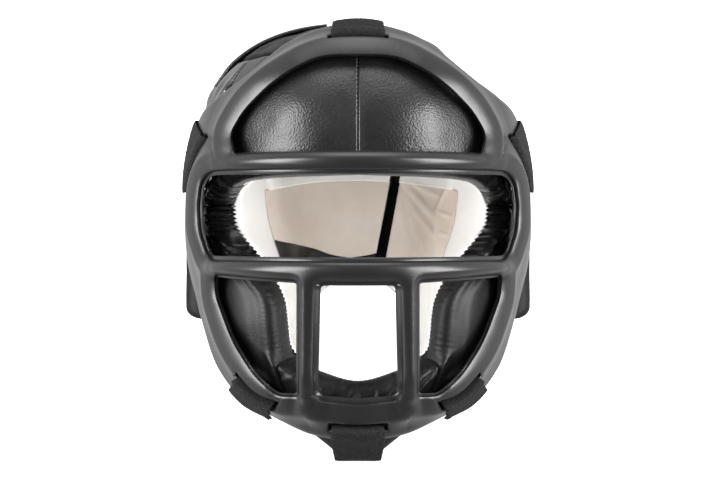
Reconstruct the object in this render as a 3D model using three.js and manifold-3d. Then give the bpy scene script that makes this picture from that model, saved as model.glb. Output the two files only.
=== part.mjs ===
// Sparring headgear with a moulded face mask, in millimetres with +Z up.
// It is drawn upright, facing -Y, and then leaned back on its chin strap and on the
// lower corners of its back flaps, which is how it rests by itself on a flat surface.
// Turn is the angle round the head in degrees: 0 at the face, 90 at the right ear, 180 behind.
import * as THREE from 'three';
import { mergeVertices } from 'three/addons/utils/BufferGeometryUtils.js';
import ManifoldModule from 'manifold-3d';

const wasm = await ManifoldModule();
wasm.setup();

const { clamp, degToRad, lerp, radToDeg } = THREE.MathUtils;

// Rest: the surface passes under the chin strap and rises towards the back of the upright headgear.
const LEAN = 20.56;
const CHIN_REST = { forward: 80, z: -136 };
const GROUND = { wide: 400, long: 500, deep: 100 };

// Outer surface of the padded body: half width and reach to the front and the back at each height.
const BODY_SECTIONS = [
  { z: -148, halfWidth: 36, front: 73, back: 32 },
  { z: -138, halfWidth: 46, front: 81, back: 42 },
  { z: -120, halfWidth: 62, front: 90, back: 60 },
  { z: -104, halfWidth: 76, front: 96, back: 78 },
  { z: -85, halfWidth: 91, front: 100, back: 92 },
  { z: -56, halfWidth: 100, front: 103, back: 105 },
  { z: -20, halfWidth: 101, front: 105, back: 112 },
  { z: 20, halfWidth: 101, front: 106, back: 115 },
  { z: 60, halfWidth: 100, front: 104, back: 114 },
];
const TEMPLE_Z = 60;
const CROWN_Z = 138;
const CROWN_POWER = 2.4;
// The soft padding sags at the upper right, under the line of the mask.
const SAG = { turn: 80, halfTurn: 40, z: 118, halfHeight: 22, share: 0.22 };
const FLAT_CROWN = 0.7;

// Seams and free edges of the padded panels.
const BROW_EDGE = [
  { turn: 0, z: 40 },
  { turn: 50, z: 37 },
  { turn: 67, z: 31 },
  { turn: 80, z: 22 },
  { turn: 100, z: 21 },
  { turn: 140, z: 20 },
];
const CROWN_EDGE = [
  { turn: 0, z: 118.5 },
  { turn: 62, z: 117 },
  { turn: 100, z: 108 },
  { turn: 130, z: 98 },
  { turn: 180, z: 93 },
];
const SIDE_BACK_EDGE = [
  { z: -91, turn: 141 },
  { z: -15, turn: 138 },
  { z: 30, turn: 130 },
  { z: 98, turn: 124 },
];
const FACE_EDGE = [
  { z: -120, turn: 33 },
  { z: -76, turn: 33 },
  { z: -45, turn: 33 },
  { z: -31, turn: 37 },
  { z: -11, turn: 50 },
  { z: 0, turn: 61 },
  { z: 10, turn: 74 },
  { z: 21.4, turn: 80 },
];
const CHEEK_RIM = [
  { turn: 33, z: -120 },
  { turn: 50, z: -114 },
  { turn: 70, z: -102 },
  { turn: 90, z: -95 },
  { turn: 110, z: -89 },
  { turn: 141, z: -91 },
];
const CHIN_RIM = [
  { turn: -16, z: -138 },
  { turn: 0, z: -143 },
  { turn: 16, z: -138 },
  { turn: 32.6, z: -122 },
];
const MOUTH_EDGE = [
  { turn: -20, z: -84 },
  { turn: 0, z: -90 },
  { turn: 20, z: -84 },
  { turn: 32.6, z: -77 },
];
const NAPE_EDGE = [
  { fromBack: -10, z: -31 },
  { fromBack: 0, z: -30 },
  { fromBack: 10, z: -31 },
  { fromBack: 30, z: -64 },
  { fromBack: 42, z: -97 },
];
// Turns at the corners of the panels.
const FOREHEAD_TURN = 62;
const BROW_CORNER_TURN = 80;
const CHIN_TURN = 32.6;
const JAW_TURN = 33;
const SIDE_BACK_TURN = { rim: 141, brow: 130, crown: 124 };
const REAR_GAP_TURN = { nape: 170, crown: 155 };
const SEAM_GAP = 0.5;

// The gap between the back flaps slants from upper right to the middle of the nape.
const BACK_GAP = { turnAtZero: 12.2, turnPerMm: 0.1268, halfTurn: 2 };

// Padding and lining.
const PAD_THICKNESS = 22;
const CHIN_PAD_THICKNESS = 25;
const FLAP_THICKNESS = 10;
const FLAP_ROLL = 6;
const CROWN_PAD_THICKNESS = 16;
const EDGE_THICKNESS = 2;
const EDGE_ROLL = 12;
const EDGE_ROLL_SHARES = [0, 0.3, 1];
const LINING_THICKNESS = 1.6;
const LINING_GAP = 0.3;
const EAR_PAD = { fromTurn: 95, toTurn: 128, bottom: -53, top: 33, height: 15, lift: 0.5, roll: 8 };

// Face mask rim: the inner edge round the face and the outer edge beside the head, right half,
// from the middle of the forehead to the middle of the chin. Forward is the distance towards the face.
const MASK_STATIONS = [
  { innerX: 0, innerZ: 112.4, innerForward: 90, outerX: 0, outerZ: 135, outerForward: 66 },
  { innerX: 38.4, innerZ: 107, innerForward: 86, outerX: 39.2, outerZ: 125.8, outerForward: 60 },
  { innerX: 58, innerZ: 92, innerForward: 84, outerX: 67.8, outerZ: 103, outerForward: 66 },
  { innerX: 76, innerZ: 73, innerForward: 73, outerX: 88, outerZ: 90.5, outerForward: 45 },
  { innerX: 82, innerZ: 55.7, innerForward: 73, outerX: 100.8, outerZ: 80, outerForward: 22 },
  { innerX: 95, innerZ: 37.2, innerForward: 59, outerX: 111, outerZ: 49, outerForward: 0 },
  { innerX: 101.5, innerZ: 21.6, innerForward: 50, outerX: 112.5, outerZ: 16, outerForward: -4 },
  { innerX: 101.5, innerZ: 5.7, innerForward: 50, outerX: 112.5, outerZ: -1, outerForward: -4 },
  { innerX: 92.7, innerZ: -12, innerForward: 58, outerX: 110.6, outerZ: -17, outerForward: 0 },
  { innerX: 87, innerZ: -28.8, innerForward: 66, outerX: 104.5, outerZ: -40, outerForward: 8 },
  { innerX: 81.8, innerZ: -45.6, innerForward: 70, outerX: 97, outerZ: -61, outerForward: 36 },
  { innerX: 72.6, innerZ: -68.9, innerForward: 80, outerX: 88, outerZ: -82.2, outerForward: 48 },
  { innerX: 59.7, innerZ: -86.8, innerForward: 90, outerX: 71, outerZ: -101.7, outerForward: 60 },
  { innerX: 44, innerZ: -95.3, innerForward: 99, outerX: 51, outerZ: -110.3, outerForward: 77 },
  { innerX: 22.4, innerZ: -92.1, innerForward: 106, outerX: 29, outerZ: -119.4, outerForward: 90 },
  { innerX: 0, innerZ: -93.2, innerForward: 108, outerX: 0, outerZ: -122.8, outerForward: 99 },
];
// Height of the rim's front over its edge line, by distance from the inner edge.
const RIM_PROFILE = [
  { inset: 0, lift: 1 },
  { inset: 1.2, lift: 4.5 },
  { inset: 5, lift: 6.5 },
  { inset: 9.5, lift: 5.5 },
  { inset: 13, lift: 3 },
  { inset: 18, lift: 2.4 },
];
const RIM_BACK_LIFT = -2;
const RIM_EDGE_LIFT = 0.9;
const RIM_EDGE_ROUND = 1.5;
const RIM_BULGE = 0.0008;
const RIM_SECTIONS = 68;

// Bars of the mask. The two cross bars bow forwards on ellipses.
const BROW_BAR = { z: 47, bow: 118, bowHalfWidth: 105, reach: 87, tall: 14, deep: 11, steps: 16 };
const EYE_BAR = { z: -19.3, bow: 128, bowHalfWidth: 105, reach: 90, tall: 15, deep: 13, steps: 16 };
const UPRIGHT_BAR = {
  x: 28.5, topZ: -20, topForward: 123.5, bottomZ: -101, bottomForward: 107.5, wide: 14.5, deep: 12, steps: 5,
};
const BAR_CORNER = 4;

// Webbing straps: each loops through a slot in the mask rim and lies on the body at both ends.
const STRAP_THICKNESS = 2.2;
const STRAP_GAP = 0.5;
const STRAP_RIM_GAP = 0.8;
const STRAP_FLATTENED = 0.2;
const STRAP_COLUMNS = [-1 / 2, -1 / 6, 1 / 6, 1 / 2];
const SLOT = { across: 6, endRoom: 2, deep: 30, steps: 4 };
const STRAPS = [
  {
    name: 'top_strap', wide: 33, station: 0, share: 0.47,
    inner: { turn: 0, z: 128 }, outer: { turn: 0, z: 136.4 },
  },
  {
    name: 'temple_strap', wide: 44, station: 4.85, share: 0.48,
    inner: { turn: 92, z: 57 }, outer: { turn: 112, z: 64 },
  },
  {
    name: 'jaw_strap', wide: 34, station: 12, share: 0.5,
    inner: { turn: 56, z: -103 }, outer: { turn: 61, z: -106 },
  },
];
const CHIN_STRAP = { wide: 31, station: 15, share: 0.7, inner: { turn: 0, z: -130 } };
// Under the chin: how far forward each row of the chin strap lies, and its rise off the surface.
const CHIN_STRAP_TURN = { forward: 89, rise: 4.5 };
const CHIN_STRAP_FLAT = [81, 72, 60];
// How a strap goes round a slot: along the rim from the slot, and off the rim at the two bends.
const SLOT_BEND = { near: 2.2, far: 6.5, nearOff: 0.9, inSlot: 1.6, pastEdge: 2.4, onEdge: 1, onRim: 0.6 };
const CROWN_STRAP = { turn: -90, fromShare: 0.2, toZ: 98, wide: 40, thick: 3, steps: 8 };
const BACK_STRAP = { z: 15, fromTurn: 146, toTurn: 212, wide: 62, thick: 3, steps: 8 };
const RIM_BINDING = { fromTurn: 42, toTurn: 116, gap: 1.1, wide: 8, tall: 7, corner: 2.4, steps: 12 };

// Finishes.
const LEATHER = new THREE.MeshStandardMaterial({ color: 0x161616, roughness: 0.45, metalness: 0 });
const PLASTIC = new THREE.MeshStandardMaterial({ color: 0x1c1d1f, roughness: 0.35, metalness: 0 });
const WEBBING = new THREE.MeshStandardMaterial({ color: 0x121212, roughness: 0.85, metalness: 0 });
const WHITE_LINING = new THREE.MeshStandardMaterial({ color: 0xe9e6e0, roughness: 0.8, metalness: 0 });
const BEIGE_LINING = new THREE.MeshStandardMaterial({ color: 0xcdb9a4, roughness: 0.8, metalness: 0 });

// Smooth value of one column of a table at a place between its rows.
function readTable(rows, by, column, at) {
  const last = rows.length - 1;
  const place = clamp(at, rows[0][by], rows[last][by]);
  let row = 0;
  while (row < last - 1 && rows[row + 1][by] < place) row += 1;
  const slope = (k) => {
    const before = rows[Math.max(k - 1, 0)];
    const after = rows[Math.min(k + 1, last)];
    return (after[column] - before[column]) / (after[by] - before[by]);
  };
  const step = rows[row + 1][by] - rows[row][by];
  const f = (place - rows[row][by]) / step;
  const start = rows[row][column] * (1 + 2 * f) * (1 - f) ** 2;
  const end = rows[row + 1][column] * f ** 2 * (3 - 2 * f);
  const leave = slope(row) * step * f * (1 - f) ** 2;
  const arrive = slope(row + 1) * step * f ** 2 * (f - 1);
  return start + end + leave + arrive;
}

// How far the dome of the crown has drawn in at a height, and the height for a given draw.
function crownShare(z) {
  const rise = clamp((z - TEMPLE_Z) / (CROWN_Z - TEMPLE_Z), 0, 1);
  return (1 - rise ** CROWN_POWER) ** (1 / CROWN_POWER);
}

function crownHeight(share) {
  const rise = (1 - share ** CROWN_POWER) ** (1 / CROWN_POWER);
  return lerp(TEMPLE_Z, CROWN_Z, rise);
}

function bodyAxes(turn, z) {
  const share = crownShare(z);
  const column = Math.cos(degToRad(turn)) >= 0 ? 'front' : 'back';
  return {
    across: share * readTable(BODY_SECTIONS, 'z', 'halfWidth', z),
    reach: share * readTable(BODY_SECTIONS, 'z', column, z),
  };
}

function bodyPoint(turn, z) {
  const axes = bodyAxes(turn, z);
  const angle = degToRad(turn);
  return new THREE.Vector3(axes.across * Math.sin(angle), -axes.reach * Math.cos(angle), z);
}

function bodyNormal(turn, z) {
  if (z <= TEMPLE_Z) {
    const along = bodyPoint(turn + 0.5, z).sub(bodyPoint(turn - 0.5, z));
    const up = bodyPoint(turn, z + 0.4).sub(bodyPoint(turn, z - 0.4));
    return along.cross(up).normalize();
  }
  const point = bodyPoint(turn, z);
  const base = bodyAxes(turn, TEMPLE_Z);
  const height = CROWN_Z - TEMPLE_Z;
  const round = ((point.x / base.across) ** 2 + (point.y / base.reach) ** 2) ** (CROWN_POWER / 2 - 1);
  const rise = ((z - TEMPLE_Z) / height) ** (CROWN_POWER - 1) / height;
  const sideways = (point.x / base.across ** 2) * round;
  const forwards = (point.y / base.reach ** 2) * round;
  return new THREE.Vector3(sideways, forwards, rise).normalize();
}

function onBody(turn, z, lift) {
  return bodyPoint(turn, z).addScaledVector(bodyNormal(turn, z), lift);
}

// The place on the body beside a point, level with it, or under it where the crown is flat.
function spotOnBody(point, fromAbove) {
  const axes = bodyAxes(point.y <= 0 ? 0 : 180, fromAbove ? TEMPLE_Z : point.z);
  const x = point.x / axes.across;
  const y = point.y / axes.reach;
  const turn = radToDeg(Math.atan2(x, -y));
  return { turn, z: fromAbove ? crownHeight(Math.min(Math.hypot(x, y), 1)) : point.z };
}

const browZ = (turn) => readTable(BROW_EDGE, 'turn', 'z', Math.abs(turn));
const chinRimZ = (turn) => readTable(CHIN_RIM, 'turn', 'z', Math.abs(turn));
const mouthZ = (turn) => readTable(MOUTH_EDGE, 'turn', 'z', Math.abs(turn));
const cheekRimZ = (turn) => readTable(CHEEK_RIM, 'turn', 'z', turn);
const napeZ = (turn) => readTable(NAPE_EDGE, 'fromBack', 'z', Math.abs(180 - turn));
const crownEdgeZ = (turn) => readTable(CROWN_EDGE, 'turn', 'z', 180 - Math.abs(180 - Math.abs(turn)));
const faceTurn = (z) => readTable(FACE_EDGE, 'z', 'turn', z);
const sideBackTurn = (z) => readTable(SIDE_BACK_EDGE, 'z', 'turn', z);
const backGapTurn = (z) => 180 - BACK_GAP.turnAtZero - BACK_GAP.turnPerMm * z;

// An edge at given heights, or an edge at given turns, as a function of its own share.
function uprightEdge(fromZ, toZ, turnOf) {
  return (share) => {
    const z = lerp(fromZ, toZ, share);
    return { turn: turnOf(z), z };
  };
}

function levelEdge(fromTurn, toTurn, zOf) {
  return (share) => {
    const turn = lerp(fromTurn, toTurn, share);
    return { turn, z: zOf(turn) };
  };
}

// A four-sided panel between two level and two upright edges.
function panel(bottom, top, left, right) {
  const blend = (s, t, key) => {
    const edges = (1 - t) * bottom(s)[key] + t * top(s)[key] + (1 - s) * left(t)[key] + s * right(t)[key];
    const low = (1 - s) * bottom(0)[key] + s * bottom(1)[key];
    const high = (1 - s) * top(0)[key] + s * top(1)[key];
    return edges - (1 - t) * low - t * high;
  };
  return (s, t) => ({ turn: blend(s, t, 'turn'), z: blend(s, t, 'z') });
}

// Length of a panel along its middle line, across or up.
function panelLength(place, across) {
  const steps = 12;
  let length = 0;
  let last = null;
  for (let i = 0; i <= steps; i += 1) {
    const spot = across ? place(i / steps, 0.5) : place(0.5, i / steps);
    const point = bodyPoint(spot.turn, spot.z);
    if (last) length += point.distanceTo(last);
    last = point;
  }
  return length;
}

// Shares along one side of a pad: close together on its rolled edges, even between them.
function padShares(length, roll, spans) {
  const edge = EDGE_ROLL_SHARES.map((share) => (share * roll) / length);
  const inside = roll / length;
  const middle = Array.from({ length: spans - 1 }, (_, i) => lerp(inside, 1 - inside, (i + 1) / spans));
  const far = edge.map((share) => 1 - share).reverse();
  return [...edge, ...middle, ...far];
}

function rollHeight(share, length, roll) {
  const distance = Math.min(share, 1 - share) * length;
  return Math.sqrt(1 - (1 - Math.min(distance / roll, 1)) ** 2);
}

// Rows of pad points. Each has its outer and inner place and the outward direction of the body.
function padRows(place, shape) {
  const wide = panelLength(place, true);
  const tall = panelLength(place, false);
  const roll = shape.roll ?? EDGE_ROLL;
  const half = shape.thickness / 2;
  const thin = EDGE_THICKNESS / 2;
  return padShares(tall, roll, shape.spansUp).map((t) => padShares(wide, roll, shape.spansAcross).map((s) => {
    const spot = place(s, t);
    const puff = rollHeight(s, wide, roll) * rollHeight(t, tall, roll);
    const reach = thin + (half - thin) * puff;
    const normal = bodyNormal(spot.turn, spot.z);
    const surface = bodyPoint(spot.turn, spot.z).addScaledVector(normal, shape.lift ?? 0);
    const outer = surface.clone().addScaledVector(normal, shape.flatBase ? 2 * reach : reach - half);
    const inner = surface.clone().addScaledVector(normal, shape.flatBase ? 0 : -reach - half);
    return { outer, inner, normal };
  }));
}

function liningRows(rows) {
  const trimmed = rows.slice(1, -1).map((row) => row.slice(1, -1));
  return trimmed.map((row) => row.map(({ inner, normal }) => ({
    outer: inner.clone().addScaledVector(normal, -LINING_GAP),
    inner: inner.clone().addScaledVector(normal, -LINING_GAP - LINING_THICKNESS),
    normal,
  })));
}

// A closed mesh from corner points and triangles, with its faces turned outwards.
function closedMesh(points, triangles) {
  const corner = triangles.flat();
  let volume = 0;
  for (const [a, b, c] of triangles) {
    volume += points[a].dot(points[b].clone().cross(points[c]));
  }
  const geometry = new THREE.BufferGeometry();
  geometry.setAttribute('position', new THREE.Float32BufferAttribute(points.flatMap((p) => p.toArray()), 3));
  geometry.setIndex(volume < 0 ? corner.reverse() : corner);
  return geometry;
}

// A wall between two grids of points, closed round its edge.
function shellGeometry(rows) {
  const high = rows.length;
  const wide = rows[0].length;
  const points = [...rows.flat().map((cell) => cell.outer), ...rows.flat().map((cell) => cell.inner)];
  const outer = (j, i) => j * wide + i;
  const inner = (j, i) => high * wide + j * wide + i;
  const triangles = [];
  const quad = (a, b, c, d) => triangles.push([a, b, c], [a, c, d]);
  for (let j = 0; j < high - 1; j += 1) {
    for (let i = 0; i < wide - 1; i += 1) {
      quad(outer(j, i), outer(j, i + 1), outer(j + 1, i + 1), outer(j + 1, i));
      quad(inner(j, i), inner(j + 1, i), inner(j + 1, i + 1), inner(j, i + 1));
    }
    quad(outer(j, 0), outer(j + 1, 0), inner(j + 1, 0), inner(j, 0));
    quad(outer(j + 1, wide - 1), outer(j, wide - 1), inner(j, wide - 1), inner(j + 1, wide - 1));
  }
  for (let i = 0; i < wide - 1; i += 1) {
    quad(outer(0, i + 1), outer(0, i), inner(0, i), inner(0, i + 1));
    quad(outer(high - 1, i), outer(high - 1, i + 1), inner(high - 1, i + 1), inner(high - 1, i));
  }
  return closedMesh(points, triangles);
}

// A solid skinned over a row of closed sections, capped at its ends or joined into a loop.
// The second half of a loop is split the other way, so that a mirrored loop stays mirrored.
function loft(sections, isLoop) {
  const around = sections[0].length;
  const points = sections.flat();
  const at = (j, i) => (j % sections.length) * around + (i % around);
  const triangles = [];
  const joins = isLoop ? sections.length : sections.length - 1;
  for (let j = 0; j < joins; j += 1) {
    for (let i = 0; i < around; i += 1) {
      const corners = [at(j, i), at(j, i + 1), at(j + 1, i + 1), at(j + 1, i)];
      if (isLoop && j >= joins / 2) corners.push(corners.shift());
      const [a, b, c, d] = corners;
      triangles.push([a, b, c], [a, c, d]);
    }
  }
  for (let i = 1; i < around - 1 && !isLoop; i += 1) {
    const end = sections.length - 1;
    triangles.push([at(0, 0), at(0, i + 1), at(0, i)], [at(end, 0), at(end, i), at(end, i + 1)]);
  }
  return closedMesh(points, triangles);
}

function toSolid(geometry) {
  const bare = geometry.index ? geometry.clone() : geometry.toNonIndexed();
  bare.deleteAttribute('normal');
  bare.deleteAttribute('uv');
  const merged = mergeVertices(bare, 1e-4);
  const vertProperties = new Float32Array(merged.getAttribute('position').array);
  const triVerts = new Uint32Array(merged.index.array);
  return new wasm.Manifold(new wasm.Mesh({ numProp: 3, vertProperties, triVerts }));
}

function fromSolid(solid) {
  const mesh = solid.getMesh();
  const geometry = new THREE.BufferGeometry();
  geometry.setAttribute('position', new THREE.Float32BufferAttribute(mesh.vertProperties, 3));
  geometry.setIndex(Array.from(mesh.triVerts));
  return geometry;
}

function mirrored(geometry) {
  const copy = geometry.clone();
  copy.applyMatrix4(new THREE.Matrix4().makeScale(-1, 1, 1));
  copy.setIndex(Array.from(copy.index.array).reverse());
  return copy;
}

// Draws a soft piece in where the padding sags.
function sagged(geometry) {
  const soft = geometry.clone();
  const position = soft.attributes.position;
  for (let i = 0; i < position.count; i += 1) {
    const turn = radToDeg(Math.atan2(position.getX(i), -position.getY(i)));
    const beside = (turn - SAG.turn) / SAG.halfTurn;
    const above = (position.getZ(i) - SAG.z) / SAG.halfHeight;
    const share = 1 - SAG.share * Math.exp(-(beside ** 2) - above ** 2);
    position.setX(i, share * position.getX(i));
    position.setY(i, share * position.getY(i));
  }
  soft.computeVertexNormals();
  return soft;
}

// Flattens a soft piece where it rests, on the surface itself or on a strap lying on it.
function restOnSurface(geometry, above) {
  const block = new THREE.BoxGeometry(GROUND.wide, GROUND.long, GROUND.deep);
  block.translate(0, 0, above - GROUND.deep / 2);
  block.rotateX(degToRad(LEAN));
  block.translate(0, -CHIN_REST.forward, CHIN_REST.z);
  return fromSolid(toSolid(geometry).subtract(toSolid(block)));
}

function surfaceZ(forward) {
  return CHIN_REST.z + (CHIN_REST.forward - forward) * Math.tan(degToRad(LEAN));
}

// Padded panels of the right side and the middle.
const foreheadPlace = panel(
  levelEdge(-FOREHEAD_TURN, FOREHEAD_TURN, browZ),
  levelEdge(-FOREHEAD_TURN, FOREHEAD_TURN, (turn) => crownEdgeZ(turn) - SEAM_GAP),
  uprightEdge(browZ(FOREHEAD_TURN), crownEdgeZ(FOREHEAD_TURN) - SEAM_GAP, () => -FOREHEAD_TURN),
  uprightEdge(browZ(FOREHEAD_TURN), crownEdgeZ(FOREHEAD_TURN) - SEAM_GAP, () => FOREHEAD_TURN),
);

const templeStart = FOREHEAD_TURN + SEAM_GAP;
const templeBack = sideBackTurn(browZ(SIDE_BACK_TURN.brow));
const templeTopBack = sideBackTurn(crownEdgeZ(SIDE_BACK_TURN.crown));
const templePlace = panel(
  levelEdge(templeStart, templeBack, browZ),
  levelEdge(templeStart, templeTopBack, (turn) => crownEdgeZ(turn) - SEAM_GAP),
  uprightEdge(browZ(templeStart), crownEdgeZ(templeStart) - SEAM_GAP, () => templeStart),
  uprightEdge(browZ(templeBack), crownEdgeZ(templeTopBack) - SEAM_GAP, sideBackTurn),
);

const cheekTop = (turn) => browZ(turn) - SEAM_GAP;
const cheekBack = sideBackTurn(cheekRimZ(SIDE_BACK_TURN.rim));
const cheekPlace = panel(
  levelEdge(JAW_TURN, cheekBack, cheekRimZ),
  levelEdge(BROW_CORNER_TURN, templeBack, cheekTop),
  uprightEdge(cheekRimZ(JAW_TURN), cheekTop(BROW_CORNER_TURN), faceTurn),
  uprightEdge(cheekRimZ(cheekBack), cheekTop(templeBack), sideBackTurn),
);

const chinPlace = panel(
  levelEdge(-CHIN_TURN, CHIN_TURN, chinRimZ),
  levelEdge(-CHIN_TURN, CHIN_TURN, mouthZ),
  uprightEdge(chinRimZ(CHIN_TURN), mouthZ(CHIN_TURN), () => -CHIN_TURN),
  uprightEdge(chinRimZ(CHIN_TURN), mouthZ(CHIN_TURN), () => CHIN_TURN),
);

const earPlace = (s, t) => ({
  turn: lerp(EAR_PAD.fromTurn, EAR_PAD.toTurn, s),
  z: lerp(EAR_PAD.bottom, EAR_PAD.top, t),
});

// The crown is a round cap, reached from a square by squeezing its corners onto the circle.
function crownPlace(s, t) {
  const a = 2 * s - 1;
  const b = 2 * t - 1;
  const x = a * Math.sqrt(1 - (b * b) / 2);
  const y = b * Math.sqrt(1 - (a * a) / 2);
  const turn = radToDeg(Math.atan2(x, -y));
  const share = Math.min(Math.hypot(x, y), 1) * crownShare(crownEdgeZ(turn));
  return { turn, z: crownHeight(share) };
}

// A back flap between the side seam and its edge of the rear gap.
function flapPlace(lowTurn, highTurn, seamTurn, isRight) {
  const edgeTurn = (z) => backGapTurn(z) + (isRight ? -BACK_GAP.halfTurn : BACK_GAP.halfTurn);
  const top = (turn) => crownEdgeZ(turn) - SEAM_GAP;
  const lowEdge = edgeTurn(napeZ(REAR_GAP_TURN.nape));
  const highEdge = edgeTurn(crownEdgeZ(REAR_GAP_TURN.crown));
  const bottomEdge = isRight ? levelEdge(lowTurn, lowEdge, napeZ) : levelEdge(lowEdge, lowTurn, napeZ);
  const topEdge = isRight ? levelEdge(highTurn, highEdge, top) : levelEdge(highEdge, highTurn, top);
  const seam = uprightEdge(napeZ(lowTurn), top(highTurn), seamTurn);
  const gap = uprightEdge(napeZ(lowEdge), top(highEdge), edgeTurn);
  return isRight ? panel(bottomEdge, topEdge, seam, gap) : panel(bottomEdge, topEdge, gap, seam);
}
const flapSeam = (z) => sideBackTurn(z) + SEAM_GAP;
const flapLow = flapSeam(napeZ(SIDE_BACK_TURN.rim));
const flapHigh = flapSeam(crownEdgeZ(SIDE_BACK_TURN.crown));
const rightFlapPlace = flapPlace(flapLow, flapHigh, flapSeam, true);
const leftFlapPlace = flapPlace(360 - flapLow, 360 - flapHigh, (z) => 360 - flapSeam(z), false);

const sidePad = { thickness: PAD_THICKNESS };
const foreheadRows = padRows(foreheadPlace, { ...sidePad, spansAcross: 8, spansUp: 4 });
const templeRows = padRows(templePlace, { ...sidePad, spansAcross: 4, spansUp: 3 });
const cheekRows = padRows(cheekPlace, { ...sidePad, spansAcross: 7, spansUp: 6 });
const chinRows = padRows(chinPlace, { thickness: CHIN_PAD_THICKNESS, spansAcross: 5, spansUp: 2 });
const crownRows = padRows(crownPlace, { thickness: CROWN_PAD_THICKNESS, spansAcross: 5, spansUp: 5 });
const flapPad = { thickness: FLAP_THICKNESS, roll: FLAP_ROLL };
const rightFlapRows = padRows(rightFlapPlace, { ...flapPad, spansAcross: 3, spansUp: 6 });
const leftFlapRows = padRows(leftFlapPlace, { ...flapPad, spansAcross: 5, spansUp: 6 });
const earPad = { thickness: EAR_PAD.height, lift: EAR_PAD.lift, roll: EAR_PAD.roll, flatBase: true };
const earRows = padRows(earPlace, { ...earPad, spansAcross: 3, spansUp: 4 });

// The mask rim as a closed band between its inner and outer edge curves.
function maskCurve(edge) {
  const right = MASK_STATIONS.map((row) => (
    new THREE.Vector3(row[`${edge}X`], -row[`${edge}Forward`], row[`${edge}Z`])
  ));
  const left = right.slice(1, -1).reverse().map((p) => new THREE.Vector3(-p.x, p.y, p.z));
  return new THREE.CatmullRomCurve3([...right, ...left], true);
}
const maskInner = maskCurve('inner');
const maskOuter = maskCurve('outer');
const MASK_LAPS = 2 * (MASK_STATIONS.length - 1);

function maskFrame(station) {
  const middle = (at) => {
    const u = (((at / MASK_LAPS) % 1) + 1) % 1;
    return maskInner.getPoint(u).add(maskOuter.getPoint(u)).multiplyScalar(0.5);
  };
  const u = (((station / MASK_LAPS) % 1) + 1) % 1;
  const inner = maskInner.getPoint(u);
  const across = maskOuter.getPoint(u).sub(inner);
  const width = across.length();
  across.normalize();
  const along = middle(station + 0.05).sub(middle(station - 0.05)).normalize();
  const normal = along.clone().cross(across).normalize();
  if (normal.dot(middle(station)) < 0) normal.negate();
  return { inner, across, width, along, normal };
}

function rimLift(inset, width) {
  const share = inset / width;
  return 4 * RIM_BULGE * width * width * share * (1 - share);
}

function rimFront(inset, width) {
  return readTable(RIM_PROFILE, 'inset', 'lift', inset) + rimLift(inset, width);
}

function onMask(frame, inset, lift) {
  return frame.inner.clone().addScaledVector(frame.across, inset).addScaledVector(frame.normal, lift);
}

function rimSection(station) {
  const frame = maskFrame(station);
  const { width } = frame;
  const edge = width - RIM_EDGE_ROUND;
  const flat = lerp(RIM_PROFILE[4].inset, edge, 0.5);
  const frontInsets = [...RIM_PROFILE.slice(0, 5).map((row) => row.inset), flat, edge];
  const front = frontInsets.map((inset) => onMask(frame, inset, rimFront(inset, width)));
  const backInsets = [edge, flat, RIM_PROFILE[3].inset, RIM_PROFILE[1].inset];
  const back = backInsets.map((inset) => onMask(frame, inset, RIM_BACK_LIFT + rimLift(inset, width)));
  const outerEdge = [onMask(frame, width, RIM_EDGE_LIFT), onMask(frame, width, -RIM_EDGE_LIFT)];
  return [...front, ...outerEdge, ...back, onMask(frame, 0, -RIM_EDGE_LIFT)];
}

// Corners of a bar's section with chamfered edges, spread on two directions round a centre.
function barSection(centre, wideWay, deepWay, wide, deep, corner) {
  const a = wide / 2;
  const b = deep / 2;
  const outline = [
    [a, -b + corner], [a, b - corner], [a - corner, b], [-a + corner, b],
    [-a, b - corner], [-a, -b + corner], [-a + corner, -b], [a - corner, -b],
  ];
  return outline.map(([p, q]) => centre.clone().addScaledVector(wideWay, p).addScaledVector(deepWay, q));
}

function crossBar(bar) {
  const up = new THREE.Vector3(0, 0, 1);
  const bowEnd = Math.asin(bar.reach / bar.bowHalfWidth);
  const sections = [];
  for (let i = 0; i <= bar.steps; i += 1) {
    const angle = lerp(-bowEnd, bowEnd, i / bar.steps);
    const centre = new THREE.Vector3(bar.bowHalfWidth * Math.sin(angle), -bar.bow * Math.cos(angle), bar.z);
    const along = new THREE.Vector3(bar.bowHalfWidth * Math.cos(angle), bar.bow * Math.sin(angle), 0);
    sections.push(barSection(centre, up, along.normalize().cross(up), bar.tall, bar.deep, BAR_CORNER));
  }
  return loft(sections, false);
}

function uprightBar(side) {
  const bar = UPRIGHT_BAR;
  const start = new THREE.Vector3(side * bar.x, -bar.topForward, bar.topZ);
  const end = new THREE.Vector3(side * bar.x, -bar.bottomForward, bar.bottomZ);
  const wideWay = new THREE.Vector3(1, 0, 0);
  const deepWay = end.clone().sub(start).normalize().cross(wideWay);
  const sections = [];
  for (let i = 0; i <= bar.steps; i += 1) {
    const centre = start.clone().lerp(end, i / bar.steps);
    sections.push(barSection(centre, wideWay, deepWay, bar.wide, bar.deep, BAR_CORNER));
  }
  return loft(sections, false);
}

// The station of the rim that lies a distance along a strap's slot from the middle of the slot.
function besideStation({ station, share }, distance) {
  const step = 0.1;
  const before = maskFrame(station - step);
  const after = maskFrame(station + step);
  const onSlot = (frame) => onMask(frame, share * frame.width, 0);
  return station + (2 * step * distance) / onSlot(before).distanceTo(onSlot(after));
}

function slotCutter(strap) {
  const sections = Array.from({ length: SLOT.steps + 1 }, (_, i) => {
    const distance = lerp(-0.5, 0.5, i / SLOT.steps) * (strap.wide + 2 * SLOT.endRoom);
    const frame = maskFrame(besideStation(strap, distance));
    const from = strap.share * frame.width - SLOT.across / 2;
    const to = from + SLOT.across;
    const half = SLOT.deep / 2;
    const corners = [[from, -half], [to, -half], [to, half], [from, half]];
    return corners.map(([inset, lift]) => onMask(frame, inset, lift));
  });
  return loft(sections, false);
}

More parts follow.
